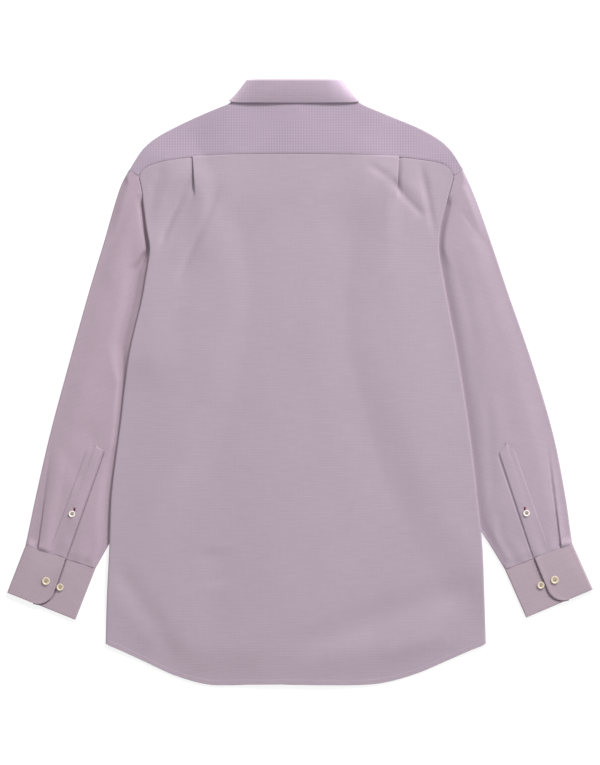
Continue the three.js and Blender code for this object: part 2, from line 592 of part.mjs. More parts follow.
// A cuff: one strip from under the lap, round the inner edge and the underside, to the rounded lap
function cuff(side) {
  const sign = signOf(side);
  const seam = sleeveTable(side).at(-1);
  const far = CUFFS[side];
  const under = CUFF_UNDER_TOP - CUFF_CLOTH;
  const upper = CUFF_LAP_TOP - CUFF_CLOTH;
  const depth = Math.hypot(far.outerX - seam.outerX, far.outerY - seam.outerY);
  const rows = [];
  const insideRows = [];
  for (const v of [0, 0.3, 0.6, 0.77, 0.84, 0.9, 0.95, 0.985, 1]) {
    const move = mix(SEAM_GAP / depth, 1, v);
    const outer = new THREE.Vector2(mix(seam.outerX, far.outerX, move), mix(seam.outerY, far.outerY, move));
    const inner = new THREE.Vector2(mix(seam.innerX, far.innerX, move), mix(seam.innerY, far.innerY, move));
    const width = outer.distanceTo(inner);
    const fromEnd = Math.max(0, CUFF_CORNER - (1 - v) * depth);
    const corner = CUFF_CORNER - Math.sqrt(Math.max(0, CUFF_CORNER ** 2 - fromEnd ** 2));
    const lap = width * mix(far.lapAtSeam, far.lapAtEnd, v) - corner;
    const underEnd = width * mix(far.lapAtSeam, far.lapAtEnd, v) - CUFF_UNDERLAP;
    const at = (distance, z) => {
      const p = outer.clone().lerp(inner, distance / width);
      return new THREE.Vector3(sign * p.x, p.y, z);
    };
    const row = [];
    const inside = [];
    const nearTurn = (under + CUFF_CLOTH) / 2;
    const farTurn = (upper + CUFF_CLOTH) / 2;
    const add = (distance, top, bottom) => {
      row.push(at(distance, top));
      inside.push(at(distance, bottom));
    };
    for (const t of [0, 0.35, 0.7, 1]) {
      add(mix(underEnd, width - nearTurn, t), under + CUFF_CLOTH, under);
    }
    for (const t of [0.2, 0.5, 0.8]) {
      const angle = t * Math.PI;
      const small = nearTurn - CUFF_CLOTH;
      row.push(at(width - nearTurn * (1 - Math.sin(angle)), nearTurn * (1 + Math.cos(angle))));
      inside.push(at(width - nearTurn + small * Math.sin(angle), nearTurn + small * Math.cos(angle)));
    }
    for (const t of [1, 0.66, 0.33, 0]) add(mix(farTurn, width - nearTurn, t), 0, CUFF_CLOTH);
    for (const t of [0.2, 0.5, 0.8]) {
      const angle = t * Math.PI;
      const small = farTurn - CUFF_CLOTH;
      row.push(at(farTurn * (1 - Math.sin(angle)), farTurn * (1 - Math.cos(angle))));
      inside.push(at(farTurn - small * Math.sin(angle), farTurn - small * Math.cos(angle)));
    }
    for (const t of [0, 0.35, 0.7, 1]) add(mix(farTurn, lap, t), upper + CUFF_CLOTH, upper);
    rows.push(row);
    insideRows.push(inside);
  }
  return closedWall(rows, insideRows);
}

// A sleeve placket: a straight strip with a pointed end, laid on the sleeve's own points
function gauntlet(side) {
  const sign = signOf(side);
  const g = GAUNTLETS[side];
  const rows = [];
  const steps = 14;
  for (let i = 0; i <= steps; i += 1) {
    const v = i / steps;
    rows.push([0, 0.25, 0.5, 0.75, 1].map((t) => {
      const pointed = 1 - Math.abs(2 * t - 1);
      const top = new THREE.Vector2(mix(g.farX, g.nearX, t), mix(g.farY, g.nearY, t));
      top.lerp(new THREE.Vector2(g.apexX, g.apexY), pointed);
      const low = new THREE.Vector2(mix(g.seamFarX, g.seamNearX, t), mix(g.seamFarY, g.seamNearY, t));
      const p = top.lerp(low, v * 0.985);
      return new THREE.Vector3(sign * p.x, p.y, sleeveTop(side, p.x, p.y) + LAP_GAP + CLOTH);
    }));
  }
  const under = rows.map((row) => row.map((p) => p.clone().setZ(p.z - CLOTH)));
  return closedWall(rows, under);
}

// A round four-hole button lying flat, its underside at z
function button(name, size, x, y, z) {
  const radius = size.diameter / 2;
  const shape = new THREE.Shape();
  shape.absarc(0, 0, radius, 0, 2 * Math.PI);
  for (let i = 0; i < BUTTON_HOLES.count; i += 1) {
    const angle = (i + 0.5) * ((2 * Math.PI) / BUTTON_HOLES.count);
    const out = BUTTON_HOLES.place * radius;
    const hole = new THREE.Path();
    hole.absarc(out * Math.cos(angle), out * Math.sin(angle), BUTTON_HOLES.radius * radius, 0, 2 * Math.PI);
    shape.holes.push(hole);
  }
  const solid = { depth: size.thickness, bevelEnabled: false, curveSegments: 4 };
  const geometry = new THREE.ExtrudeGeometry(shape, solid);
  const part = mesh(name, geometry, buttonMaterial());
  part.position.set(x, y, z);
  return part;
}

// A place on the collar: its line is fold, edge or neck, and around runs from the middle of the back
function collarPlace(line, around) {
  const turn = Math.abs(around);
  const read = (axis) => readTable(COLLAR, 'around', `${line}${axis}`, turn);
  const x = Math.sign(around) * read('X') + COLLAR_CENTRE * smooth((130 - turn) / 40);
  return new THREE.Vector3(x, read('Y'), Math.max(0, read('Z')));
}

// The band, from the neckline up to just inside the leaf's fold, its ends lapped at the front
function collarStand() {
  const columns = 40;
  const rows = [0, 0.4, 0.75, 1].map((v) => {
    const row = [];
    for (let i = 0; i <= columns; i += 1) {
      const around = mix(-180, 180, i / columns);
      const top = collarPlace('fold', around);
      const base = collarPlace('neck', around);
      const inward = new THREE.Vector3(COLLAR_CENTRE - top.x, 0, 0).normalize();
      const atBack = smooth((95 - Math.abs(around)) / 20);
      top.addScaledVector(inward, STAND_FOLD_IN * smooth((Math.abs(around) - 40) / 30)
        * smooth((150 - Math.abs(around)) / 20));
      top.y -= STAND_FOLD_IN * 0.6 * atBack;
      top.z = Math.max(2.6, top.z - STAND_FOLD_IN * 0.9 * atBack);
      const point = base.lerp(top, v);
      if (around > 0) point.z += (COLLAR_CLOTH + LAP_GAP) * smooth((around - 158) / 8);
      row.push(point);
    }
    return row;
  });
  return closedWall(movedOut(rows, COLLAR_CLOTH / 2), movedOut(rows, -COLLAR_CLOTH / 2));
}

// The leaf, from its lower edge up to its fold
function collarLeaf() {
  const columns = 40;
  const rows = [0, 0.25, 0.5, 0.75, 1].map((v) => {
    const row = [];
    for (let i = 0; i <= columns; i += 1) {
      const t = mix(-1, 1, i / columns);
      const edge = collarPlace('edge', t * LEAF_EDGE_END);
      row.push(edge.lerp(collarPlace('fold', t * LEAF_FOLD_END), v));
    }
    return row;
  });
  return closedWall(rows, movedOut(rows, -COLLAR_CLOTH));
}

const layout = new THREE.Group();
const piece = (name, geometry) => layout.add(mesh(name, geometry, shirtingMaterial()));
piece('back', back());
piece('yoke', yoke());
for (const side of ['left', 'right']) {
  piece(`front_${side}`, front(side));
  piece(`sleeve_${side}`, sleeve(side));
  piece(`gauntlet_${side}`, gauntlet(side));
  piece(`cuff_${side}`, cuff(side));
}
piece('collar_stand', collarStand());
piece('collar_leaf', collarLeaf());

for (let i = 0; i < FRONT_BUTTON_COUNT; i += 1) {
  const y = FRONT_BUTTON_LOWEST + i * FRONT_BUTTON_PITCH;
  layout.add(button(`front_button_${i + 1}`, FRONT_BUTTON, 0, y, 0));
}
layout.add(button('collar_button', COLLAR_BUTTON, 0, COLLAR_BUTTON_HEIGHT, 0));
for (const side of ['left', 'right']) {
  const sign = signOf(side);
  const on = CUFF_BUTTONS[side];
  const placket = GAUNTLETS[side];
  const placketTop = sleeveTop(side, placket.buttonX, placket.buttonY) + LAP_GAP + CLOTH;
  layout.add(button(`gauntlet_button_${side}`, SMALL_BUTTON,
    sign * placket.buttonX, placket.buttonY, placketTop + SEAM_GAP));
  layout.add(button(`cuff_button_outer_${side}`, CUFF_BUTTON,
    sign * on.outerX, on.outerY, CUFF_LAP_TOP + SEAM_GAP));
  layout.add(button(`cuff_button_inner_${side}`, CUFF_BUTTON,
    sign * on.innerX, on.innerY, CUFF_UNDER_TOP + SEAM_GAP));
}

// The part's frame: the middle of the whole layout, on the surface it lies on
const box = new THREE.Box3().setFromObject(layout);
const middle = box.getCenter(new THREE.Vector3());
layout.position.set(-middle.x, -middle.y, -box.min.z);
const shirt = new THREE.Group();
shirt.add(layout);

export default shirt;
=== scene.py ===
import math

import bmesh
import bpy
import numpy as np
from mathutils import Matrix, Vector
from mathutils.bvhtree import BVHTree


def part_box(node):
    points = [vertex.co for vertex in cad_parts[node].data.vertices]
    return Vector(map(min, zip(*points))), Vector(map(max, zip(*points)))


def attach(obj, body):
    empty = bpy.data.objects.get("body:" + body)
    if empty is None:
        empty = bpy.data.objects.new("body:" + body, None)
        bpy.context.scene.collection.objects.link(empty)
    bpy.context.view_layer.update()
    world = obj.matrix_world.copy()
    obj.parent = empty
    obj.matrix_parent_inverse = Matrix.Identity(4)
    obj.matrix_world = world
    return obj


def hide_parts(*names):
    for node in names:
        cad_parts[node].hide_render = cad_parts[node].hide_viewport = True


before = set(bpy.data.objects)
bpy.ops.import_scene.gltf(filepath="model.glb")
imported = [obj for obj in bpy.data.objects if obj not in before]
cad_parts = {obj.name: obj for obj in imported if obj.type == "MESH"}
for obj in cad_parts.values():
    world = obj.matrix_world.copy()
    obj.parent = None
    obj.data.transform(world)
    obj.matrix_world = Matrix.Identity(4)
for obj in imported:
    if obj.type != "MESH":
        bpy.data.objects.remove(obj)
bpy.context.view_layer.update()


# The table, the lights and the camera
# The shirt lies on a plain pale table with its back up. One low soft light stands beyond its collar and a
# weaker one to its right, so that the folds show. The camera looks straight down from far off.

VIEW_HEIGHT = 1.0557
LENS = 240.0
SENSOR = 36.0
TABLE_HALF = 6.0
TABLE_DROP = 0.0003
TABLE_PAINT = (0.3, 0.3, 0.3)
TABLE_GLOW = 0.76
ROOM_LIGHT = 0.565
LIGHTS = {
    "far_light": {"place": (2.4, 4.6, 3.25), "size": 1.7, "watts": 380},
    "right_light": {"place": (6.0, 0.8, 2.3), "size": 1.6, "watts": 75},
}

scene = bpy.context.scene
scene.view_settings.view_transform = "Standard"


def make_table():
    corners = [(x * TABLE_HALF, y * TABLE_HALF, 0) for x, y in ((-1, -1), (1, -1), (1, 1), (-1, 1))]
    mesh = bpy.data.meshes.new("table")
    mesh.from_pydata(corners, [], [(0, 1, 2, 3)])
    paint = bpy.data.materials.new("table_paint")
    paint.use_nodes = True
    shader = paint.node_tree.nodes["Principled BSDF"]
    shader.inputs["Base Color"].default_value = (*TABLE_PAINT, 1)
    shader.inputs["Roughness"].default_value = 0.9
    shader.inputs["Emission Color"].default_value = (1, 1, 1, 1)
    shader.inputs["Emission Strength"].default_value = TABLE_GLOW
    mesh.materials.append(paint)
    table = bpy.data.objects.new("table", mesh)
    table.location.z = -TABLE_DROP
    scene.collection.objects.link(table)


def hang_light(name, place, size, watts):
    light = bpy.data.lights.new(name, "AREA")
    light.shape = "DISK"
    light.size = size
    light.energy = watts
    lamp = bpy.data.objects.new(name, light)
    lamp.location = place
    lamp.rotation_euler = (-Vector(place)).to_track_quat("-Z", "Y").to_euler()
    scene.collection.objects.link(lamp)


def light_the_room():
    room = bpy.data.worlds.new("room")
    room.use_nodes = True
    room.node_tree.nodes["Background"].inputs["Color"].default_value = (1, 1, 1, 1)
    room.node_tree.nodes["Background"].inputs["Strength"].default_value = ROOM_LIGHT
    scene.world = room
    for name, light in LIGHTS.items():
        hang_light(name, **light)


def stand_camera():
    camera = bpy.data.cameras.new("camera")
    camera.lens = LENS
    camera.sensor_width = SENSOR
    eye = bpy.data.objects.new("camera", camera)
    eye.location = (0, 0, VIEW_HEIGHT * LENS / SENSOR)
    scene.collection.objects.link(eye)
    scene.camera = eye


make_table()
light_the_room()
stand_camera()


# The sleeves
# Each is one panel of fine micro-check cotton, folded along its outer edge and joined underneath. It is set
# into the armhole, swung down beside the body and taken in by one pleat at the cuff.

CLOTH = 0.5
PRESSED = 3.2
SLEEVE_LOFT = 2.7
SLEEVE_REST = 0.8
SHOULDER_POINT = 702.3
YOKE_END_RISE = 10.2
YOKE_END_SLOPE = 1.157

# The body's half width at each height over the hem, in mm: its sides lie over the sleeves
SIDES = {
    "height": (56, 118, 194, 257, 299, 366, 412, 464, 532, 567, 602, 629, 662, 682, 702),
    "left": (263.2, 261.5, 257.9, 255.7, 251.2, 242.2, 237, 229.3, 213.3, 207.3, 202.4, 206.5, 211.1, 213.2,
             217.4),
    "right": (261.5, 259.5, 256.3, 249.5, 245, 236.3, 229.3, 220.7, 208.1, 201.5, 196.7, 198.6, 206.4, 212.1,
              217.4),
}
# A sleeve's outer and inner edges from the armhole to the cuff, in mm from the shirt's middle and its hem
SLEEVES = {
    "left": {
        "along": (0, 0.04, 0.1, 0.2, 0.34, 0.5, 0.68, 0.84, 0.94, 1),
        "outer_x": (230.6, 240.4, 249.4, 264.6, 286.0, 312.8, 339.4, 358.7, 368.8, 373.6),
        "outer_y": (711.5, 693, 667, 614, 543, 447, 348, 264, 216, 193.2),
        "inner_x": (165, 152, 140, 130, 134, 165, 203, 237, 261, 277.1),
        "inner_y": (668, 640, 598, 545, 478, 405, 308, 231, 190, 161.2),
    },
    "right": {
        "along": (0, 0.04, 0.1, 0.2, 0.34, 0.5, 0.68, 0.84, 0.94, 1),
        "outer_x": (229.6, 239.4, 250.4, 269.4, 291.5, 325.0, 354.2, 371.0, 377.8, 380.6),
        "outer_y": (711.5, 690, 663, 609, 543, 446, 347, 262, 215, 195.8),
        "inner_x": (165, 152, 140, 131, 135, 169, 208, 242, 270, 287.7),
        "inner_y": (668, 638, 596, 545, 480, 402, 311, 234, 189, 159.7),
    },
}
SLEEVE_GRAIN = {"left": 19.0, "right": -19.0}
# Each sleeve's pleat: the line of its fold, the height and the way of its step, and how far the step reaches
SLEEVE_PLEATS = {
    "left": {"top": (332, 372), "end": (355.6, 190), "step": 3.2, "faces": 1, "reach": 24},
    "right": {"top": (345.8, 348), "end": (365.2, 193), "step": 3.6, "faces": -1, "reach": 14},
}
# Soft creases: where each starts and ends, its width and its depth in mm, which is below nothing on a ridge
SLEEVE_CREASES = {
    "left": [
        ((226, 600), (230, 455), 9, 1.6), ((262, 560), (292, 430), 14, 0.7),
        ((238, 640), (262, 560), 10, -0.7), ((300, 400), (338, 300), 16, 0.7),
        ((262, 420), (290, 330), 15, 0.8), ((330, 330), (302, 282), 12, 0.6),
        ((318, 300), (300, 210), 10, -0.5), ((268, 250), (280, 180), 8, 0.8),
        ((345, 290), (366, 205), 7, 0.5), ((255, 660), (246, 620), 9, 0.8),
        ((284, 360), (262, 300), 13, 0.6),
    ],
    "right": [
        ((214, 585), (252, 420), 11, 1.3), ((258, 400), (270, 240), 9, 1.4),
        ((262, 560), (300, 420), 15, 0.7), ((310, 430), (350, 330), 16, 0.7),
        ((286, 420), (300, 345), 13, 0.6), ((236, 650), (262, 585), 10, -0.7),
        ((330, 290), (316, 205), 9, -0.5), ((280, 240), (290, 178), 8, 0.8),
        ((356, 280), (374, 212), 7, 0.5), ((248, 660), (240, 615), 9, 0.8),
        ((290, 330), (276, 270), 12, 0.6),
    ],
}
# How far a sleeve takes to rise beside the body, how deep it sinks there and how far off it is deepest, in
# mm, by the height over the hem
BESIDE_BODY = {
    "height": (150, 200, 290, 330, 420, 470, 575, 600, 660, 674, 690),
    "left": (24, 22, 18, 9, 12, 34, 32, 8, 8, 3, 2),
    "right": (20, 20, 24, 28, 30, 24, 18, 8, 8, 3, 2),
    "left_sink": (1.8, 1.9, 1.4, 0.5, 0.7, 2.6, 2.6, 1.9, 1.9, 0.3, 0),
    "right_sink": (1.6, 1.4, 1.5, 1.8, 1.9, 1.6, 1.9, 1.9, 1.2, 0.2, 0),
    "left_trough": (0, 0, 0, 0, 0, 13, 13, 0, 0, 0, 0),
    "right_trough": (0, 0, 0, 0, 0, 0, 0, 0, 0, 0, 0),
}
SINK_WIDTH = 7
TUCKED_UP = 2.4
# The slit beside each sleeve placket's free edge, from its top to the cuff
SLITS = {"left": ((265.6, 322), (317.4, 175.5)), "right": ((277.8, 318), (325.5, 176.2))}
SLIT_DEPTH = {"left": 2.0, "right": 0.7}
EDGE_TURNS = (0.1, 0.3, 0.5, 0.7, 0.9)
SLEEVE_RINGS = np.concatenate([np.linspace(0, 0.07, 46), np.linspace(0.074, 0.995, 198),
                               [0.9975, 0.999, 1]])
EVEN_PLACES = 84
UNDER_PLACES = 16
FOLD_PLACES = (-4.5, -3.2, -2.2, -1.5, -0.9, -0.4, 0, 0.4, 0.9, 1.5, 2.4)
TOP_PLACES = EVEN_PLACES + 2 * len(FOLD_PLACES)

# The front buttons stand on the shirt's middle line, the first 105 mm up from the hem
button_low, button_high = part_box("front_button_1")
MIDDLE_X = (button_low[0] + button_high[0]) / 2
HEM_Y = (button_low[1] + button_high[1]) / 2 - 0.105


def sign_of(side):
    return -1 if side == "left" else 1


def mix(a, b, t):
    return a + (b - a) * t


def ease(t):
    t = np.clip(t, 0, 1)
    return t * t * (3 - 2 * t)


# A column of a table at a place along another column, on a smooth curve through its rows
def read(table, column, by, at):
    keys = np.array(table[by], float)
    values = np.array(table[column], float)
    if keys[0] > keys[-1]:
        keys, values = keys[::-1], values[::-1]
    rows = np.arange(len(keys))
    before, after = np.maximum(rows - 1, 0), np.minimum(rows + 1, len(keys) - 1)
    slopes = (values[after] - values[before]) / (keys[after] - keys[before])
    at = np.clip(at, keys[0], keys[-1])
    i = np.clip(np.searchsorted(keys, at) - 1, 0, len(keys) - 2)
    span = keys[i + 1] - keys[i]
    t = (at - keys[i]) / span
    return ((2 * t**3 - 3 * t**2 + 1) * values[i] + (t**3 - 2 * t**2 + t) * slopes[i] * span
            + (3 * t**2 - 2 * t**3) * values[i + 1] + (t**3 - t**2) * slopes[i + 1] * span)


# A soft rounded fold across a line, from 1 at its middle to nothing
def fold(distance, width):
    return np.exp(-((distance / width) ** 2))


# How far along a line a place is, from 0 to 1, and how far beside it in mm
def beside_line(x, y, start, end):
    dx, dy = end[0] - start[0], end[1] - start[1]
    length = math.hypot(dx, dy)
    along = ((x - start[0]) * dx + (y - start[1]) * dy) / length**2
    return along, ((x - start[0]) * dy - (y - start[1]) * dx) / length


def creases(x, y, rows):
    height = np.zeros_like(x)
    for start, end, width, depth in rows:
        along, beside = beside_line(x, y, start, end)
        beside = beside + 0.35 * width * np.sin(3.3 * along + start[0])
        fade = ease(along / 0.35 + 0.5) * ease((1 - along) / 0.35 + 0.5)
        height -= depth * fade * fold(beside, width)
    return height


# The faint unevenness of cloth that has been pressed and handled
def handled(x, y, amount, scale=60.0):
    waves = ((0.9, 0.4, 0.3), (-0.5, 1.0, 1.7), (1.5, -0.9, 2.6), (0.3, 1.9, 4.1), (2.3, 0.8, 5.2))
    total = sum(np.sin((a * x + b * y) * math.pi / scale + c) for a, b, c in waves)
    return amount * total / len(waves)


def body_half(side, y):
    return read(SIDES, side, "height", np.clip(y, 56, 702))


# How far a place on a sleeve is inside its outer and inner edges and beyond the body's side
def across_sleeve(side, x, y):
    table = SLEEVES[side]
    outer = read(table, "outer_x", "outer_y", y)
    inner = read(table, "inner_x", "inner_y", y)
    yoke_end = YOKE_END_SLOPE * np.clip(y - SHOULDER_POINT, 0, YOKE_END_RISE)
    return outer - x, x - inner, x - body_half(side, y) - yoke_end


# The sleeve's cap, which stands up to the armhole seam and the yoke's end
def cap_height(inside_outer, beyond_body, y):
    start = mix(0.4, 2.6, ease((y - 699) / 4))
    height = mix(3.0, 3.9, ease((beyond_body + 0.3) / 0.5)) * ease((beyond_body + start) / 0.9)
    up_the_arm = mix(ease((y - 590) / 80), ease((y - 662) / 16), fold(np.maximum(beyond_body, 0), 6))
    return height * up_the_arm * ease(inside_outer / mix(12, 2.6, ease((y - 688) / 16)))


# How deep a sleeve sinks beside the body, or rises to it past a trough
def sink_beside_body(side, beyond_body, y):
    sink = np.interp(y, BESIDE_BODY["height"], BESIDE_BODY[side + "_sink"])
    trough = np.interp(y, BESIDE_BODY["height"], BESIDE_BODY[side + "_trough"])
    sink = sink * ease((beyond_body + 2) / 2) * fold(np.maximum(beyond_body - trough, 0), SINK_WIDTH)
    across_trough = beyond_body / np.maximum(trough, 1)
    tucked_up = TUCKED_UP * ease(1 - across_trough) * ease((beyond_body + 25) / 20)
    in_trough = ease(trough / 6)
    return sink * mix(1, ease(across_trough), in_trough) - in_trough * tucked_up


# The step and the groove of a sleeve's pleat
def sleeve_pleat(side, x, y):
    pleat = SLEEVE_PLEATS[side]
    along, beside = beside_line(x, y, pleat["top"], pleat["end"])
    beside = beside * pleat["faces"]
    step = np.where(beside < -0.9, 0, ease(1 - beside / pleat["reach"]) * ease((0.9 + beside) / 1.6))
    groove = mix(2.2, 3.4, along) * fold(beside + 1.6, mix(2.6, 1.1, ease(along / 0.7)))
    return (pleat["step"] * step - groove) * ease(along / 0.5)


# The height of a sleeve's upper layer, eased down to the cuff's seam and opened by the slit
def sleeve_top(side, x, y, slit=True):
    table = SLEEVES[side]
    inside_outer, inside_inner, beyond_body = across_sleeve(side, x, y)
    reach = np.interp(y, BESIDE_BODY["height"], BESIDE_BODY[side])
    clear = ease((beyond_body / reach - 0.3) / 0.7) if side == "left" else ease((beyond_body - 1) / reach)
    within = ease((inside_outer - 1) / 30) * ease((inside_inner - 1) / 16)
    seam = [(table[edge + "_x"][-1], table[edge + "_y"][-1]) for edge in ("outer", "inner")]
    across_seam, to_cuff = beside_line(x, y, *seam)
    to_cuff = np.abs(to_cuff)
    gathers = 0.45 * np.sin(across_seam * math.pi * 9) * ease(1 - to_cuff / 46)
    folds = gathers + sleeve_pleat(side, x, y)
    loft = SLEEVE_LOFT * mix(0.5, 1, ease(to_cuff / 80)) + creases(x, y, SLEEVE_CREASES[side])
    puff = (loft + folds + handled(x, y, 0.35) + SLEEVE_REST) * clear * within
    height = np.maximum(cap_height(inside_outer, beyond_body, y), np.maximum(puff, 0))
    cuff_rise = mix(2.4, 0.9, ease((across_seam - 0.5) / 0.14)) - 0.1 * ease(1 - to_cuff / 1.6)
    at_cuff = ease(1 - to_cuff / 13) * ease((inside_outer - 0.5) / 4) * ease((inside_inner - 0.5) / 4)
    height = mix(height, cuff_rise + mix(0.3, 0.9, ease(to_cuff / 4)) * folds, at_cuff * (y < 260))
    if slit:
        along, beside = beside_line(x, y, *SLITS[side])
        ends = ease(along / 0.03) * ease((1.03 - along) / 0.02)
        height = height - SLIT_DEPTH[side] * fold(beside, 1.1) * ends
    return PRESSED + height - sink_beside_body(side, beyond_body, y)


# One ring of a sleeve: over the top from its outer edge, round the inner edge and back underneath
def sleeve_ring(side, along):
    table = SLEEVES[side]
    outer_x, outer_y, inner_x, inner_y = (
        read(table, column, "along", along) for column in ("outer_x", "outer_y", "inner_x", "inner_y"))
    width = math.hypot(inner_x - outer_x, inner_y - outer_y)
    radius = PRESSED / 2
    turns = np.array(EDGE_TURNS) * math.pi
    top = [np.linspace(radius, width - radius, EVEN_PLACES)]
    pleat = SLEEVE_PLEATS[side]
    for start, end, faces in ((pleat["top"], pleat["end"], pleat["faces"]), (*SLITS[side], 1)):
        run = (end[0] - start[0], end[1] - start[1])
        crossed = (start[0] - outer_x) * run[1] - (start[1] - outer_y) * run[0]
        crossed *= width / ((inner_x - outer_x) * run[1] - (inner_y - outer_y) * run[0])
        top.append(np.clip(crossed, 0.15 * width, 0.85 * width) + faces * np.array(FOLD_PLACES))
    top = np.sort(np.concatenate(top))
    under = np.linspace(width - radius, radius, UNDER_PLACES)
    out, up = radius * np.sin(turns), radius * np.cos(turns)
    distance = np.concatenate([top, width - radius + out, under, radius - out])
    x = mix(outer_x, inner_x, distance / width)
    y = mix(outer_y, inner_y, distance / width)
    z = np.concatenate([sleeve_top(side, x[:TOP_PLACES], y[:TOP_PLACES]), radius + up,
                        np.zeros(UNDER_PLACES), radius - up])
    return sign_of(side) * x, y, z


# Fine white and lavender yarns crossing in a check of 3.7 mm, seen as faint lines both ways
def shirting_material(name, colour, line_share, down_share=0.7):
    cloth = bpy.data.materials.new(name)
    cloth.use_nodes = True
    nodes, links = cloth.node_tree.nodes, cloth.node_tree.links
    shader = nodes["Principled BSDF"]
    shader.inputs["Roughness"].default_value = 0.82
    shader.inputs["Specular IOR Level"].default_value = 0.25
    shader.inputs["Sheen Weight"].default_value = 0.12
    shader.inputs["Sheen Roughness"].default_value = 0.5
    shader.inputs["Sheen Tint"].default_value = (0.95, 0.86, 0.95, 1)
    places = nodes.new("ShaderNodeUVMap")
    places.uv_map = "cloth"
    split = nodes.new("ShaderNodeSeparateXYZ")
    links.new(places.outputs["UV"], split.inputs["Vector"])

    def number(operation, a, b=None):
        node = nodes.new("ShaderNodeMath")
        node.operation = operation
        for socket, value in zip(node.inputs, (a, b)):
            if isinstance(value, (int, float)):
                socket.default_value = value
            elif value is not None:
                links.new(value, socket)
        return node.outputs[0]

    def lines(axis, pitch):
        return number("SINE", number("MULTIPLY", split.outputs[axis], 2 * math.pi / pitch))

    def cloudy(scale, stretch=(1, 1, 1)):
        mapping = nodes.new("ShaderNodeMapping")
        mapping.inputs["Scale"].default_value = stretch
        links.new(places.outputs["UV"], mapping.inputs["Vector"])
        noise = nodes.new("ShaderNodeTexNoise")
        noise.inputs["Scale"].default_value = scale
        noise.inputs["Detail"].default_value = 3.0
        links.new(mapping.outputs[0], noise.inputs["Vector"])
        return noise.outputs["Fac"]

    blotches = number("MAXIMUM", number("SUBTRACT", cloudy(0.03), 0.3), 0.02)
    patchy = number("MULTIPLY", blotches, 5 * line_share)
    down, across = lines("X", 3.7), lines("Y", 3.7)
    crossed = number("ADD", number("MULTIPLY", across, 0.6), 1.0)
    dashes = number("MULTIPLY", number("MULTIPLY", down, crossed), down_share)
    check = number("MULTIPLY", number("ADD", dashes, number("MULTIPLY", across, 0.6)), patchy)
    slubs = number("ADD", number("MULTIPLY", cloudy(0.5, (0.07, 1, 1)), 0.34),
                   number("MULTIPLY", cloudy(0.5, (1, 0.07, 1)), 0.16))
    soft = number("MULTIPLY", cloudy(0.012), 0.14)
    tone = number("ADD", number("ADD", check, slubs), number("ADD", soft, 0.18))
    ramp = nodes.new("ShaderNodeValToRGB")
    ramp.color_ramp.elements[0].color = (*(0.78 * c for c in colour), 1)
    ramp.color_ramp.elements[1].color = (*(1.22 * c for c in colour), 1)
    links.new(tone, ramp.inputs["Fac"])
    links.new(ramp.outputs["Color"], shader.inputs["Base Color"])
    yarns = number("MULTIPLY", lines("X", 0.42), lines("Y", 0.42))
    yarns = number("ADD", yarns, number("MULTIPLY", check, 2.0))
    bump = nodes.new("ShaderNodeBump")
    bump.inputs["Strength"].default_value = 0.35
    bump.inputs["Distance"].default_value = 0.00006
    links.new(number("ADD", yarns, slubs), bump.inputs["Height"])
    links.new(bump.outputs["Normal"], shader.inputs["Normal"])
    return cloth


# A sheet of cloth through a grid of places in mm, its check laid at an angle, its thickness inside
def cloth_piece(name, grid, material, grain=0.0, thickness=CLOTH, ring=False, turned=False, keep=None):
    x, y, z = grid
    rows, columns = x.shape
    points = np.stack([MIDDLE_X + x / 1000, HEM_Y + y / 1000, z / 1000], axis=-1).reshape(-1, 3)
    r, c = np.meshgrid(np.arange(rows - 1), np.arange(columns if ring else columns - 1), indexing="ij")
    right = (c + 1) % columns
    corners = [r * columns + c, r * columns + right, (r + 1) * columns + right, (r + 1) * columns + c]
    faces = np.stack(corners[::-1] if turned else corners, axis=-1)
    faces = faces[keep] if keep is not None else faces.reshape(-1, 4)
    used, faces = np.unique(faces, return_inverse=True)
    faces = faces.reshape(-1, 4)
    mesh = bpy.data.meshes.new(name)
    mesh.from_pydata(points[used].tolist(), [], faces.tolist())
    mesh.shade_smooth()
    mesh.materials.append(material)
    turn = math.radians(grain)
    across = (x * math.cos(turn) + y * math.sin(turn)).ravel()[used]
    down = (y * math.cos(turn) - x * math.sin(turn)).ravel()[used]
    layer = mesh.uv_layers.new(name="cloth")
    layer.data.foreach_set("uv", np.stack([across[faces], down[faces]], axis=-1).ravel())
    piece = bpy.data.objects.new(name, mesh)
    scene.collection.objects.link(piece)
    wall = piece.modifiers.new("thickness", "SOLIDIFY")
    wall.thickness = thickness / 1000
    wall.offset = -1
    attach(piece, "root")
    return piece


LAVENDER = {"left": (0.412, 0.316, 0.381), "right": (0.400, 0.318, 0.386)}

for side in ("left", "right"):
    rings = [sleeve_ring(side, t) for t in SLEEVE_RINGS]
    grid = [np.array(axis) for axis in zip(*rings)]
    shirting = shirting_material(f"{side}_sleeve_shirting", LAVENDER[side], 0.035)
    sleeve = cloth_piece(f"{side}_sleeve", grid, shirting, SLEEVE_GRAIN[side], ring=True,
                         turned=side == "left")
    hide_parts(f"sleeve_{side}")


# The fronts
# Two panels of the same cotton from the side folds to the middle, where the left laps over the right and is
# buttoned. They lie underneath, with a stitched band down the lap, and meet the yoke under the shoulders.

SIDE_FOLD = 3.4
NECK_HALF = 76
FRONT_DEPTH = 34
FRONT_LAP = 18
LAP_STEP = 1.5
BAND = 17.5
FRONT_GAP = 0.35
FRONT_CLEAR = 0.45
LEFT_EDGE_RISE = 3.2

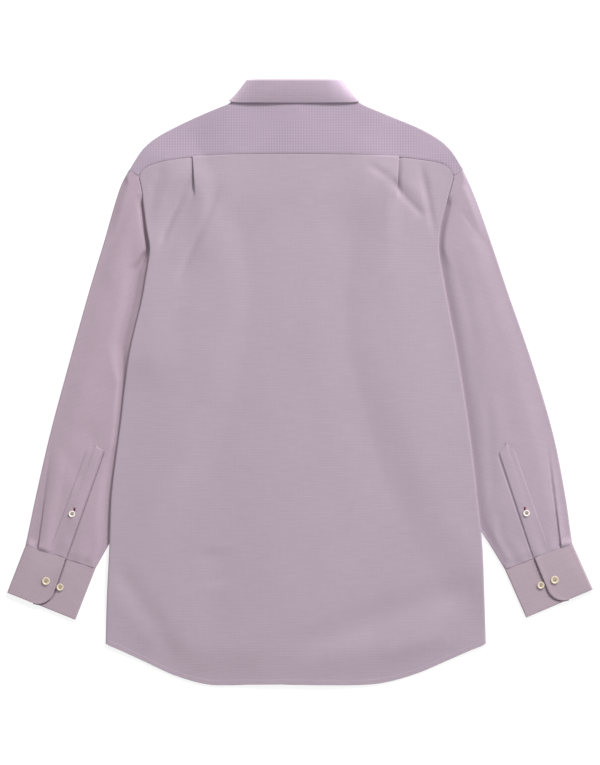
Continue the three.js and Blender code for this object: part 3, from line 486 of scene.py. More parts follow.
# The hem and the yoke seam across each half of the body
ENDS = {
    "across": (0, 0.3, 0.46, 0.635, 0.8, 0.92, 0.98, 1),
    "hem_left": (1.5, 0.8, 1.0, 13.4, 33.2, 47.8, 54.5, 56.9),
    "hem_right": (1.0, 0.2, 3.5, 16.3, 34.6, 48.3, 54.5, 56.9),
    "seam_left": (733.4, 733.0, 732.0, 729.2, 724.8, 718.2, 710.0, 702.3),
    "seam_right": (733.4, 732.6, 731.4, 729.0, 724.9, 719.6, 711.0, 702.3),
}
# The shoulder line, from under the collar out to the sleeve
SHOULDER = {
    "across": (0, 0.3, 0.4, 0.52, 0.66, 0.8, 0.9, 1),
    "half_width": (0, 76, 97, 133, 168, 196, 213.5, 229.2),
    "height_left": (807.5, 809.0, 800.6, 785.8, 769.3, 753.2, 737.0, 712.5),
    "height_right": (807.5, 807.6, 798.3, 783.6, 769.0, 753.2, 737.0, 712.5),
}


# How far a place is outside the area under a sleeve
def distance_from_sleeve(x, y):
    found = {}
    for side in ("left", "right"):
        table = SLEEVES[side]
        outer = list(zip(table["outer_x"], table["outer_y"]))
        inner = list(zip(table["inner_x"], table["inner_y"]))
        loop = outer + inner[::-1]
        nearest = np.full(x.shape, 1e9)
        inside = np.zeros(x.shape, bool)
        px = np.abs(x)
        for (ax, ay), (bx, by) in zip(loop, loop[1:] + loop[:1]):
            dx, dy = bx - ax, by - ay
            inside ^= ((ay > y) != (by > y)) & (px < dx * (y - ay) / (dy + 1e-9) + ax)
            t = np.clip(((px - ax) * dx + (y - ay) * dy) / (dx**2 + dy**2), 0, 1)
            nearest = np.minimum(nearest, np.hypot(px - mix(ax, bx, t), y - mix(ay, by, t)))
        found[side] = np.where(inside, 0, nearest)
    return np.where(x < 0, found["left"], found["right"])


# The underside of the body, raised over the sleeves, the front buttons and the collar's points
def body_floor(x, y):
    over_sleeve = (PRESSED + 0.5) * (1 - ease((distance_from_sleeve(x, y) - 24) / 70))
    over_buttons = 2.7 * ease((125 - np.abs(x)) / 105)
    over_collar = 3.3 * ease((150 - np.abs(x)) / 60) * ease((y - 590) / 100)
    raised = LEFT_EDGE_RISE * ease((-x - 150) / 55) * ease((y - 400) / 60) * ease((655 - y) / 50)
    return (over_sleeve**4 + over_buttons**4 + over_collar**4) ** 0.25 + raised


def by_side(x, table, column, by, at):
    return np.where(x < 0, read(table, column + "left", by, at), read(table, column + "right", by, at))


def front_seam(half_width):
    shoulder = read(SHOULDER, "height_left", "half_width", half_width)
    return np.maximum(shoulder - FRONT_DEPTH, SHOULDER_POINT + FRONT_GAP)


def front_grid(side):
    across = np.concatenate([[0, 0.008, 0.02], np.linspace(0.04, 1, 64)])[None, :]
    up = np.concatenate([[0, 0.003, 0.008, 0.009, 0.012], np.linspace(0.018, 1, 150)])[:, None]
    inset = SIDE_FOLD / 2 + 2.5 * FRONT_GAP
    low = read(ENDS, "hem_" + side, "across", across)
    rough_x = mix(-FRONT_LAP, body_half(side, mix(low, SHOULDER_POINT, up)) - inset, across)
    width = np.abs(rough_x)
    seam = front_seam(np.maximum(width, NECK_HALF)) - FRONT_GAP * mix(2.5, 8, ease((width - 175) / 25))
    dip = 1 - np.sqrt(np.maximum(0, 1 - (np.minimum(width, NECK_HALF) / NECK_HALF) ** 2))
    high = mix(728, seam, np.where(width < NECK_HALF, dip, 1))
    y = mix(low, np.where(across == 1, SHOULDER_POINT - FRONT_GAP, high), up)
    x = mix(-FRONT_LAP, body_half(side, y) - inset, across)
    lap = 0
    if side == "right":
        lap = LAP_STEP * ease((FRONT_LAP * 2.4 - x) / FRONT_LAP) * mix(0.2, 1, ease((y - low) / 60))
    signed = sign_of(side) * x
    z = body_floor(signed, y) + FRONT_CLEAR + lap
    hem_band = 0.35 * ease((0.009 - up) / 0.001)
    front_band = 0.3 * ease((BAND - x) / 1.5) if side == "left" else 0
    soft = 0.5 * ease((np.abs(x) - 60) / 30) * ease((body_half(side, y) - x) / 30)
    return signed, y, z - front_band - hem_band + soft * (1 + handled(x, y, 0.9))


FRONT_SHIRTING = shirting_material("front_shirting", (0.400, 0.318, 0.386), 0.08)

# A row of stitches on a cloth, along a line of places in mm: each is a short bead of thread
def sew(name, cloth, lines, thread, pitch=2.4, width=0.4, below=False):
    points = [cloth.matrix_world @ v.co for v in cloth.data.vertices]
    tree = BVHTree.FromPolygons(points, [f.vertices for f in cloth.data.polygons])
    toward = Vector((0, 0, 1 if below else -1))
    verts, faces = [], []
    for line in lines:
        x, y = (np.array(axis, float) for axis in line)
        run = np.concatenate([[0], np.cumsum(np.hypot(np.diff(x), np.diff(y)))])
        for start in np.arange(0.05, run[-1] - 0.62 * pitch, pitch):
            hits = []
            for at in (start, start + 0.7 * pitch):
                px, py = np.interp(at, run, x), np.interp(at, run, y)
                above = Vector((MIDDLE_X + px / 1000, HEM_Y + py / 1000, 0)) - toward * 0.2
                hits.append(tree.ray_cast(above, toward)[0])
            if hits[0] is None or hits[1] is None:
                continue
            first, last, up = hits[0], hits[1], -toward
            beside = (last - first).cross(up).normalized() * width / 2000
            at = len(verts)
            verts += [first, last]
            for share in (0.25, 0.75):
                middle = first.lerp(last, share)
                verts += [middle + beside, middle + up * width / 1900, middle - beside]
            faces += [(at, at + 2, at + 3), (at, at + 3, at + 4), (at + 2, at + 5, at + 6, at + 3),
                      (at + 3, at + 6, at + 7, at + 4), (at + 5, at + 1, at + 6), (at + 6, at + 1, at + 7)]
    mesh = bpy.data.meshes.new(name)
    mesh.from_pydata(verts, [], faces)
    mesh.shade_smooth()
    mesh.materials.append(thread)
    stitches = bpy.data.objects.new(name, mesh)
    scene.collection.objects.link(stitches)
    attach(stitches, "root")
    return stitches


def thread_material(name, colour):
    thread = bpy.data.materials.new(name)
    thread.use_nodes = True
    nodes, links = thread.node_tree.nodes, thread.node_tree.links
    shader = nodes["Principled BSDF"]
    shader.inputs["Roughness"].default_value = 0.6
    shader.inputs["Sheen Weight"].default_value = 0.2
    places = nodes.new("ShaderNodeTexCoord")
    twist = nodes.new("ShaderNodeTexNoise")
    twist.inputs["Scale"].default_value = 900.0
    ramp = nodes.new("ShaderNodeValToRGB")
    ramp.color_ramp.elements[0].color = (*(0.8 * c for c in colour), 1)
    ramp.color_ramp.elements[1].color = (*(min(1, 1.12 * c) for c in colour), 1)
    links.new(places.outputs["Object"], twist.inputs["Vector"])
    links.new(twist.outputs["Fac"], ramp.inputs["Fac"])
    links.new(ramp.outputs["Color"], shader.inputs["Base Color"])
    return thread


THREAD = thread_material("lavender_thread", (0.41, 0.33, 0.40))

for side in ("left", "right"):
    sign = sign_of(side)
    front = cloth_piece(f"{side}_front", front_grid(side), FRONT_SHIRTING, turned=side == "right")
    across = np.linspace(0.02, 0.985, 60)
    hem_x = mix(-FRONT_LAP, body_half(side, 30) - 4, across)
    rows = [(sign * hem_x, read(ENDS, "hem_" + side, "across", across) + 5)]
    if side == "left":
        height = np.linspace(8, 724, 60)
        rows += [(sign * (inset + 0 * height), height) for inset in (BAND - 5, 5 - FRONT_LAP)]
    stitches = sew(f"{side}_front_stitches", front, rows, THREAD, below=True)
    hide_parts(f"front_{side}")


# The back
# One panel from the yoke seam to the curved, narrow hem. Two knife pleats are caught in the yoke seam and
# open into soft folds; the sides turn under to the fronts and lie over the sleeves.

BODY_LOFT = 2.6
HEM_BAND = 6.5
HEM_RISE = 0.22
YOKE_SEAM = 1.5
BACK_PLEATS = {
    "left": {"top": (-143.7, 734), "end": (-138.8, 660), "step": 2.8, "column": -0.663},
    "right": {"top": (142.0, 734), "end": (137.6, 660), "step": 3.4, "column": 0.66},
}
# The columns of cloth round a pleat's fold: how far outward each lies, where the fold is open and where it
# is pressed, and how high it stands
PLEAT_COLUMNS = {
    "open": (-9, -6, -3.5, -1.6, -0.6, 0, 0.6, 1.2, 2.0, 3.0, 4.4, 6.5, 9),
    "pressed": (-9, -6, -3.2, -1.2, -0.3, 0, -0.3, -1.4, -3.0, -0.6, 1.1, 3.2, 7.5),
    "height": (1, 1, 1, 1.05, 0.95, 0.6, 0.2, -0.2, -0.6, -0.9, -0.85, -0.3, -0.05),
}
PLEAT_OPEN = 540
# The heights of the close rows at the hem and under the yoke
HEM_ROWS = (0, 0.5, 1.2, 2.5, 4.5, 5.8, 6.5, 7.2, 8.5, 11, 15)
SEAM_ROWS = (717, 721, 725, 728, 729.6, 730.1, 730.5, 731, 732)
BACK_CREASES = [
    ((-147, 692), (-190, 606), 4.5, 2.9), ((-166, 705), (-196, 640), 7, -0.9),
    ((-112, 680), (-158, 566), 5.5, 2.0), ((-134, 660), (-172, 590), 9, -0.8),
    ((101, 716), (140, 690), 4.5, 1.6), ((136, 692), (172, 648), 4, 2.0),
    ((150, 700), (182, 655), 7, -0.8), ((172, 710), (195, 618), 4, 2.6),
    ((209, 702), (199, 648), 4, 1.5), ((-219, 706), (-201, 680), 2.2, -0.6),
    ((-213, 706), (-196, 682), 2.6, 0.7), ((-186, 716), (-204, 655), 6, 1.2),
    ((-240, 162), (-176, 38), 16, 1.8), ((-119, 185), (-112, 140), 22, 1.3),
    ((-20, 52), (250, 128), 22, 2.6), ((120, 40), (215, 68), 14, -1.0),
    ((105, 350), (205, 120), 26, 0.35), ((-20, 560), (30, 200), 40, 0.3),
    ((-120, 330), (-215, 130), 26, 0.5), ((60, 420), (130, 300), 30, 0.25),
    ((-150, 480), (-90, 380), 30, -0.25),
]


def body_top(x, y):
    width = np.abs(x)
    from_side = np.where(x < 0, body_half("left", y), body_half("right", y)) - width
    from_shoulder = np.where(width > NECK_HALF, by_side(x, SHOULDER, "height_", "half_width", width) - y,
                             np.hypot(NECK_HALF - width, 811 - y))
    from_edge = np.minimum(from_side, from_shoulder)
    folds = creases(x, y, BACK_CREASES) + handled(x, y, 0.3, 85)
    return body_floor(x, y) + SIDE_FOLD + BODY_LOFT * ease(from_edge / 90) + folds * ease(from_edge / 24)


# The side folds: half a round from the top face down to the underside, as a step from 0 to 1
def side_fold(side, y, step):
    radius = SIDE_FOLD / 2
    out = radius * math.sin(step * math.pi) - radius
    half = body_half(side, y)
    x = sign_of(side) * (half + out)
    return x, y, body_floor(sign_of(side) * half, y) + radius + radius * math.cos(step * math.pi)


# Heights up a column of the back, with how far outward its cloth is moved at the hem and at the yoke
def back_column(across, up, moved=(0, 0)):
    side = "left" if across < 0 else "right"
    low = read(ENDS, "hem_" + side, "across", min(1, abs(across) + moved[0] / body_half(side, 0)))
    high = read(ENDS, "seam_" + side, "across", abs(across) + moved[1] / body_half(side, 702)) + YOKE_SEAM
    return side, mix(low, high, up), low


def pleat_shift(across, y):
    shift = 0
    for pleat in BACK_PLEATS.values():
        (top_x, top_y), (end_x, end_y) = pleat["top"], pleat["end"]
        line = mix(end_x, top_x, np.clip((y - end_y) / (top_y - end_y), 0, 1))
        side = "left" if top_x < 0 else "right"
        gap = line - pleat["column"] * body_half(side, y)
        shift = shift + gap * ease((y - 500) / 160) * math.exp(-(((across - pleat["column"]) / 0.13) ** 2))
    return shift


def back_grid():
    up = np.concatenate([HEM_ROWS, np.linspace(19, 712, 186), SEAM_ROWS]) / SEAM_ROWS[-1]
    plain = [(u, None) for u in np.linspace(-0.985, 0.985, 122)
             if all(abs(u - p["column"]) > 0.078 for p in BACK_PLEATS.values())]
    tucked = [(p["column"], i) for p in BACK_PLEATS.values() for i in range(len(PLEAT_COLUMNS["height"]))]
    columns = []
    for across, tuck in sorted(plain + tucked, key=lambda c: (c[0], (c[1] or 0) * (1 if c[0] > 0 else -1))):
        open_out, pressed_out, stand = (0, 0, 0) if tuck is None else (
            PLEAT_COLUMNS[column][tuck] for column in ("open", "pressed", "height"))
        moved = (1.5 * open_out, pressed_out)
        side, y, low = back_column(across, up, moved)
        x = across * body_half(side, y) + pleat_shift(across, y)
        outward = 0
        rise = 0
        pleat = BACK_PLEATS[side]
        pressed = ease((y - 670) / 26)
        opening = ease((y - PLEAT_OPEN) / (696 - PLEAT_OPEN))
        if tuck is not None:
            spread = mix(1.5, 1, pressed)
            outward = spread * mix(open_out, pressed_out, pressed)
            rise = mix(opening * ease(0.5 - open_out / 18), stand, pressed)
        elif abs(across) < abs(pleat["column"]):
            rise = opening * ease(1 - (abs(pleat["top"][0]) - np.abs(x)) / 90)
        caught = mix(1, 0.4, ease((y - 692) / 38))
        x = x + sign_of(side) * outward
        z = body_top(x, y) + pleat["step"] * rise * caught
        from_side = body_half(side, y) - np.abs(x)
        drop = ease(1 - (y - low) / 55) * ease(from_side / 50)
        z = z - 0.9 * ease((y - y[-1] + YOKE_SEAM + 0.6) / 0.7)
        z = z - drop * (BODY_LOFT * ease(from_side / 90) + 1.3)
        z = z + HEM_RISE * ease((HEM_BAND - (y - low)) / 0.7)
        columns.append((x, y, z))
    steps = (0, 0.15, 0.3, 0.5, 0.7, 0.85, 1)
    edges = [[side_fold(side, back_column(sign_of(side), up)[1], step) for step in steps]
             for side in ("left", "right")]
    columns = edges[0][::-1] + columns + edges[1]
    return [np.stack(axis, axis=1) for axis in zip(*columns)]


BACK_SHIRTING = shirting_material("back_shirting", (0.400, 0.323, 0.386), 0.05, 0.3)
back = cloth_piece("back_panel", back_grid(), BACK_SHIRTING)
across = np.linspace(-0.99, 0.99, 120)
hem_row = (across * np.where(across < 0, body_half("left", 40), body_half("right", 40)),
           by_side(across, ENDS, "hem_", "across", np.abs(across)) + HEM_BAND - 1.2)
back_stitches = sew("hem_stitches", back, [hem_row], THREAD)
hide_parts("back")


# The yoke
# One panel over both shoulders, turned down to the front at the shoulder line. It covers the back's top edge
# and is topstitched to it, and its ends run into the armholes.

YOKE_STEP = 0.5
YOKE_CREASES = [((-60, 760), (-150, 742), 14, 0.2), ((70, 765), (150, 745), 14, 0.3)]


def yoke_grid():
    across = np.linspace(-1, 1, 141)
    across = np.unique(np.concatenate([across, [-0.3, 0.3], [-0.998, -0.994, 0.994, 0.998]]))
    width = np.abs(across)
    sign = np.where(across < 0, -1, 1)
    low_x = np.where(across < 0, body_half("left", 702), body_half("right", 702)) * width
    low_y = by_side(across, ENDS, "seam_", "across", width)
    high_x = read(SHOULDER, "half_width", "across", width)
    high_y = by_side(across, SHOULDER, "height_", "across", width)
    radius = SIDE_FOLD / 2
    rows = []
    for v in np.concatenate([[0, 0.006, 0.014, 0.03], np.linspace(0.06, 0.97, 30)]):
        x = sign * mix(low_x, high_x, v)
        y = mix(low_y, high_y - radius, v)
        edge = ease((y - low_y) / 2.2)
        inside = ease((high_y - y) / 12)
        z = body_top(x, y) + YOKE_STEP * mix(0.2, 1, edge) * inside + creases(x, y, YOKE_CREASES) * inside
        rows.append((x, y, z))
    floor = body_floor(sign * high_x, high_y)
    neck = width < 0.299
    for step in np.linspace(0, 1, 9):
        turn = step * math.pi
        y = np.where(neck, high_y, high_y - radius + radius * math.sin(turn))
        z = np.where(neck, body_top(sign * high_x, high_y), floor + radius + radius * math.cos(turn))
        rows.append((sign * high_x, y, z))
    for down in (0.15, 0.35, 0.55, 0.75, 1):
        y = mix(high_y - radius, front_seam(high_x), down)
        rows.append((sign * high_x, y, body_floor(sign * high_x, y)))
    grid = [np.stack(axis) for axis in zip(*rows)]
    row = np.arange(len(rows) - 1)[:, None]
    column = np.abs(across[:-1] + across[1:])[None, :] / 2
    return grid, (row < 34) | (column > 0.3)


YOKE_SHIRTING = shirting_material("yoke_shirting", (0.383, 0.306, 0.382), 0.14, 1.0)
grid, keep = yoke_grid()
yoke = cloth_piece("yoke_panel", grid, YOKE_SHIRTING, keep=keep)
across = np.linspace(-0.985, 0.985, 120)
seam_row = (across * 217.4, by_side(across, ENDS, "seam_", "across", np.abs(across)) + 2.4)
yoke_stitches = sew("yoke_stitches", yoke, [seam_row], THREAD)
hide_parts("yoke")


# The sleeve plackets
# A straight pointed strip of doubled cotton on each sleeve, topstitched along its outer edge and boxed at
# its point. Its inner edge is free and laps over the slit, where it is buttoned.

PLACKET_CLOTH = 0.7
BOX_END = 0.165
HOLE_BAR = 3.4
RED_THREAD = thread_material("dark_red_thread", (0.13, 0.008, 0.016))
PLACKETS = {
    "left": {"apex": (276.1, 333.0), "far": (288.2, 328.3), "near": (266.9, 324.8),
             "seam_far": (340.4, 185.0), "seam_near": (319.2, 175.2), "hole_end": (305.9, 242.9),
             "lift": (0.45, 1.6)},
    "right": {"apex": (288.6, 334.8), "far": (298.8, 330.2), "near": (279.3, 321.0),
              "seam_far": (349.0, 186.0), "seam_near": (327.2, 176.0), "hole_end": (314.9, 243.8),
              "lift": (0.3, 0.9)},
}


# A place on a placket: across from its outer to its free edge and down from its point to the cuff
def placket_place(side, across, down):
    strip = PLACKETS[side]
    pointed = 1 - np.abs(2 * across - 1)
    place = []
    for axis in (0, 1):
        top = mix(mix(strip["far"][axis], strip["near"][axis], across), strip["apex"][axis], pointed)
        low = mix(strip["seam_far"][axis], strip["seam_near"][axis], across)
        place.append(mix(top, low, down))
    lift = mix(*strip["lift"], ease(across / 0.8)) * (1 - 0.8 * ease((down - 0.86) / 0.14))
    lift = lift - 0.4 * ease(1 - down / 0.06)
    edge = ease(np.minimum(across, 1 - across) / 0.05)
    height = sleeve_top(side, *place, slit=False) + lift - 0.3 * (1 - edge)
    return sign_of(side) * place[0], place[1], height


# A line of places on a placket through some of its shares
def placket_path(side, corners):
    shares = np.array(corners, float).T
    count = np.linspace(0, shares.shape[1] - 1, 12 * shares.shape[1])
    across, down = (np.interp(count, np.arange(shares.shape[1]), row) for row in shares)
    return placket_place(side, across, down)[:2]


def placket_grid(side):
    across = np.concatenate([[0, 0.03, 0.06], np.linspace(0.12, 0.88, 15), [0.94, 0.97, 1]])[None, :]
    down = np.concatenate([np.linspace(0, 0.982, 72), [0.991, 0.996, 0.998]])[:, None]
    return placket_place(side, across, down)


for side in ("left", "right"):
    grid = [np.array(axis) for axis in placket_grid(side)]
    shirting = shirting_material(f"{side}_placket_shirting", LAVENDER[side], 0.035)
    placket = cloth_piece(f"{side}_placket", grid, shirting, SLEEVE_GRAIN[side] * 1.2, PLACKET_CLOTH,
                          turned=side == "left")
    inset = 0.09
    point = [(0.5, 0.018), (1 - inset, 0.03), (1 - inset, BOX_END), (inset, BOX_END), (inset, 0.03),
             (0.5, 0.018)]
    path = [(inset, 0.98), (inset, 0.03)]
    rows = [placket_path(side, corners) for corners in (path, point, [(inset, 0.1), (1 - inset, 0.15)])]
    stitches = sew(f"{side}_placket_stitches", placket, rows, THREAD, pitch=2.0)
    hole_x, hole_y = PLACKETS[side]["hole_end"]
    bars = [(sign_of(side) * hole_x + np.array([-HOLE_BAR, HOLE_BAR]) / 2, np.full(2, hole_y + up))
            for up in np.linspace(-2, 2, 9)]
    hole_end = sew(f"{side}_placket_buttonhole", placket, bars, RED_THREAD,
                   pitch=HOLE_BAR / 0.72, width=0.7)
    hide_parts(f"gauntlet_{side}")


# The cuffs
# A double layer of cotton with a firm interlining, closed round with a lap on top. The lap's end is rounded
# at the lower corner, and every edge is topstitched.

CUFF_CLOTH = 1.4
CUFF_UNDER = 2.2
CUFF_UPPER = 4.1
CUFF_CORNER = 23
CUFF_GAP = 0.06
CUFF_STITCH = 2.0
LAP_PLACES = (-2, -1, -0.3, 0.4, 1, 1.7, 2.6, 4)
CUFFS = {
    "left": {"outer": (399.0, 127.9), "inner": (304.8, 90.3),
             "lap_at_seam": 0.57, "lap_at_end": 0.6, "groove": 2.2},
    "right": {"outer": (409.0, 132.4), "inner": (317.0, 93.5),
              "lap_at_seam": 0.56, "lap_at_end": 0.58, "groove": 1.0},
}


# The line across a cuff at a share of its depth: its two ends and where its upper layer stops
def cuff_line(side, share):
    table, far = SLEEVES[side], CUFFS[side]
    seam_outer = np.array([table["outer_x"][-1], table["outer_y"][-1]])
    seam_inner = np.array([table["inner_x"][-1], table["inner_y"][-1]])
    depth = np.hypot(*(np.array(far["outer"]) - seam_outer))
    move = mix(CUFF_GAP / depth, 1, share)
    outer = mix(seam_outer, np.array(far["outer"]), move)
    inner = mix(seam_inner, np.array(far["inner"]), move)
    lap = np.hypot(*(inner - outer)) * mix(far["lap_at_seam"], far["lap_at_end"], share)
    from_end = max(0, CUFF_CORNER - (1 - share) * depth)
    corner = CUFF_CORNER - math.sqrt(max(0, CUFF_CORNER**2 - from_end**2))
    return outer, inner, lap, corner


def cuff_puff(distance, width, share):
    bow = 0.9 * math.sin(math.pi * share) + 0.35 * math.sin(5 * share + 1)
    return bow * ease(np.minimum(distance, width - distance) / 16)


def cuff_grid(side):
    rows = []
    shares = [[0, 0.006, 0.015, 0.03], np.linspace(0.06, 0.94, 42), [0.955, 0.968, 0.98, 0.99, 1]]
    for share in np.concatenate(shares):
        outer, inner, lap, corner = cuff_line(side, share)
        width = np.hypot(*(inner - outer))
        near, far = (CUFF_UNDER + CUFF_CLOTH) / 2, (CUFF_UPPER + CUFF_CLOTH) / 2
        turns = np.array(EDGE_TURNS) * math.pi
        beside_lap = lap - corner + np.array(LAP_PLACES)
        under = np.sort(np.concatenate([np.linspace(lap - corner - 6, width - near, 36), beside_lap]))
        below = np.linspace(width - near, far, 26)
        upper = np.append(np.linspace(far, lap - corner - 1.2, 44), [lap - corner - 0.5, lap - corner])
        distance = np.concatenate([under, width - near * (1 - np.sin(turns)), below,
                                   far * (1 - np.sin(turns)), upper])
        edge = 0.35 * ease(1 - (1 - share) / 0.012) + 0.1 * ease(1 - share / 0.012)
        under_top = CUFF_UNDER + CUFF_CLOTH + 0.3 * cuff_puff(under, width, share)
        under_top -= CUFFS[side]["groove"] * fold(under - lap + corner, 1.7) * ease(share / 0.04)
        upper_top = CUFF_UPPER + CUFF_CLOTH + cuff_puff(upper, width, share)
        to_lap = lap - corner - upper
        upper_top += 0.5 * ease(1 - to_lap / 9) - 0.3 * ease(1 - to_lap / 0.9)
        z = np.concatenate([under_top - edge, near * (1 + np.cos(turns)), np.zeros(26) + edge * 0.3,
                            far * (1 - np.cos(turns)), upper_top - edge])
        x = mix(outer[0], inner[0], distance / width)
        y = mix(outer[1], inner[1], distance / width)
        rows.append((sign_of(side) * x, y, z))
    return [np.stack(axis) for axis in zip(*rows)]


# The rows of stitches just inside a cuff's edges, and the one beside its seam
def cuff_rows(side):
    table, far = SLEEVES[side], CUFFS[side]
    depth = math.hypot(far["outer"][0] - table["outer_x"][-1], far["outer"][1] - table["outer_y"][-1])
    inset = CUFF_STITCH / depth

    def place(share, distance):
        outer, inner = cuff_line(side, share)[:2]
        return mix(outer, inner, distance / np.hypot(*(inner - outer)))

    rows = []
    for share in (inset, 1 - inset):
        outer, inner, lap, corner = cuff_line(side, share)
        width = np.hypot(*(inner - outer))
        rows.append([place(share, d) for d in (2, lap - corner - CUFF_STITCH)])
        rows.append([place(share, d) for d in (lap - corner + 1.5, width - 2)])
    edge = []
    for share in np.linspace(inset, 1 - inset, 40):
        outer, inner, lap, corner = cuff_line(side, share)
        edge.append(place(share, lap - corner - CUFF_STITCH))
    rows.append(edge)
    return [(sign_of(side) * np.array(row)[:, 0], np.array(row)[:, 1]) for row in rows]


CUFF_SHIRTING = shirting_material("cuff_shirting", (0.398, 0.312, 0.361), 0.035)
CUFF_GRAIN = {"left": -21.8, "right": 22.9}

for side in ("left", "right"):
    cuff = cloth_piece(f"{side}_cuff", cuff_grid(side), CUFF_SHIRTING, CUFF_GRAIN[side], CUFF_CLOTH - 0.2,
                       turned=side == "left")
    stitches = sew(f"{side}_cuff_stitches", cuff, cuff_rows(side), THREAD, pitch=2.0)
    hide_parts(f"cuff_{side}")


# The collar stand
# A firm curved band of doubled cotton. The neckline is set into its lower edge, and its ends lap at
# the front.

COLLAR_CLOTH = 1.2
COLLAR_CENTRE = -3
STAND_FOLD_IN = 4.4
# The collar's lines round the neck, by degrees from the middle of the back
COLLAR = {
    "around": (0, 50, 75, 84, 95, 106, 122, 138, 152, 172, 180),
    "fold_x": (0, 43, 57.6, 62.4, 66.6, 66, 56, 42, 26, 5, -9),
    "fold_y": (834.8, 834.8, 834.7, 834.4, 833, 821, 797, 781, 771, 765, 765),
    "fold_z": (27, 25.5, 21, 17, 9.5, 1.6, 0, 0, 0, 0, 0),
    "edge_x": (0, 55, 81, 88.6, 89.4, 87, 76, 64, 52, 40, 36),
    "edge_y": (803.2, 803.4, 803.8, 805.2, 807.2, 801, 764, 735, 712, 700, 700),
    "edge_z": (12.0, 11.4, 9.8, 8.8, 3.4, 0, 0, 0, 0, 0, 0),
    "neck_x": (0, 50, 69, 72, 73.3, 73.4, 71.5, 59, 38, 6, -10),
    "neck_y": (808.4, 810.4, 812, 811.2, 807.5, 794, 766, 748, 737, 731, 731),
    "neck_z": (8.8, 7.2, 6.2, 5.5, 4.1, 2.7, 2.6, 2.6, 2.6, 2.6, 2.6),
}


def collar_line(line, around):
    turn = np.abs(around)
    x, y, z = (read(COLLAR, f"{line}_{axis}", "around", turn) for axis in "xyz")
    return np.stack([np.sign(around) * x + COLLAR_CENTRE * ease((130 - turn) / 40), y, np.maximum(0, z)])


def stand_grid():
    around = np.linspace(-180, 180, 181)
    turn = np.abs(around)
    top, base = collar_line("fold", around), collar_line("neck", around)
    at_back = ease((95 - turn) / 20)
    inward = np.sign(COLLAR_CENTRE - top[0])
    top[0] += inward * STAND_FOLD_IN * ease((turn - 40) / 30) * ease((150 - turn) / 20)
    top[1] -= STAND_FOLD_IN * 0.6 * at_back
    top[2] = np.maximum(2.6, top[2] - STAND_FOLD_IN * 0.9 * at_back)
    lapped = np.where(around > 0, 1.7 * ease((around - 158) / 8), 0)
    up = np.linspace(0, 1, 14)[:, None]
    x, y, z = (mix(base[axis], top[axis], up) for axis in range(3))
    return x, y, z + lapped


stand = cloth_piece("collar_band", stand_grid(), YOKE_SHIRTING, thickness=COLLAR_CLOTH - 0.3)
stand.modifiers["thickness"].offset = 0
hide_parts("collar_stand")


# The collar leaf
# Two layers of cotton with a firm interlining, turned down over the stand from its fold at the top. Its
# points lie flat under the shirt, and its edge is topstitched.

LEAF_EDGE_END = 152
LEAF_FOLD_END = 172
LEAF_TURN = 1.1
LEAF_STITCH = 4.5


def leaf_place(up, along):
    edge = collar_line("edge", along * LEAF_EDGE_END)
    fold = collar_line("fold", along * LEAF_FOLD_END)
    x, y, z = (mix(edge[axis], fold[axis], up) for axis in range(3))
    at_back = ease((84 - np.abs(along) * LEAF_EDGE_END) / 12)
    bow = 0.9 * np.sin(math.pi * up) * at_back
    return x, y, z + bow


def leaf_grid():
    up = np.concatenate([[0, 0.012, 0.03, 0.05], np.linspace(0.09, 0.93, 22), [0.96, 0.985, 1]])[:, None]
    along = np.linspace(-1, 1, 221)[None, :]
    x, y, z = leaf_place(up, along)
    at_back = ease((84 - np.abs(along) * LEAF_EDGE_END) / 12)
    rolled = LEAF_TURN * ease((up - 0.93) / 0.07) ** 2 * at_back
    return x, y, z - rolled - 0.3 * ease(1 - up / 0.02) * at_back


# The leaf's cloth colour is painted lighter than the same shirting elsewhere. This is painted light, making
# up for the leaf sloping away from the light.
LEAF_SHIRTING_PAINTED_LIGHTER = shirting_material("leaf_shirting_painted_lighter", (0.55, 0.441, 0.54), 0.07)
leaf = cloth_piece("collar_fall", leaf_grid(), LEAF_SHIRTING_PAINTED_LIGHTER, thickness=COLLAR_CLOTH - 0.1)
along = np.linspace(-0.52, 0.52, 90)
leaf_stitches = sew("collar_stitches", leaf, [leaf_place(LEAF_STITCH / 31, along)[:2]], THREAD)
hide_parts("collar_leaf")


# The buttons
# Turned four-hole buttons of ivory shell with a raised rim and a sunk middle. Each is sewn on through its
# holes with two bars of thread, and stands a little off the cloth.

HOLE_PLACE = 0.27
HOLE_SIZE = 0.1
# Each button's width and thickness in mm
BUTTON_SIZES = {"cuff_outer": (11.0, 2.2), "cuff_inner": (9.8, 2.2), "front": (11.4, 2.2),
                "placket": (9.0, 2.0), "collar": (10.0, 1.2)}
# The turned profile from the sunk middle over the rim to the underside: out and up, as shares of the size
BUTTON_TURN = {
    "out": (0.5, 0.56, 0.64, 0.76, 0.87, 0.95, 0.99, 1.0, 0.985, 0.9, 0.6),
    "up": (0.6, 0.64, 0.8, 0.93, 1.0, 0.94, 0.8, 0.55, 0.34, 0.12, 0.0),
}


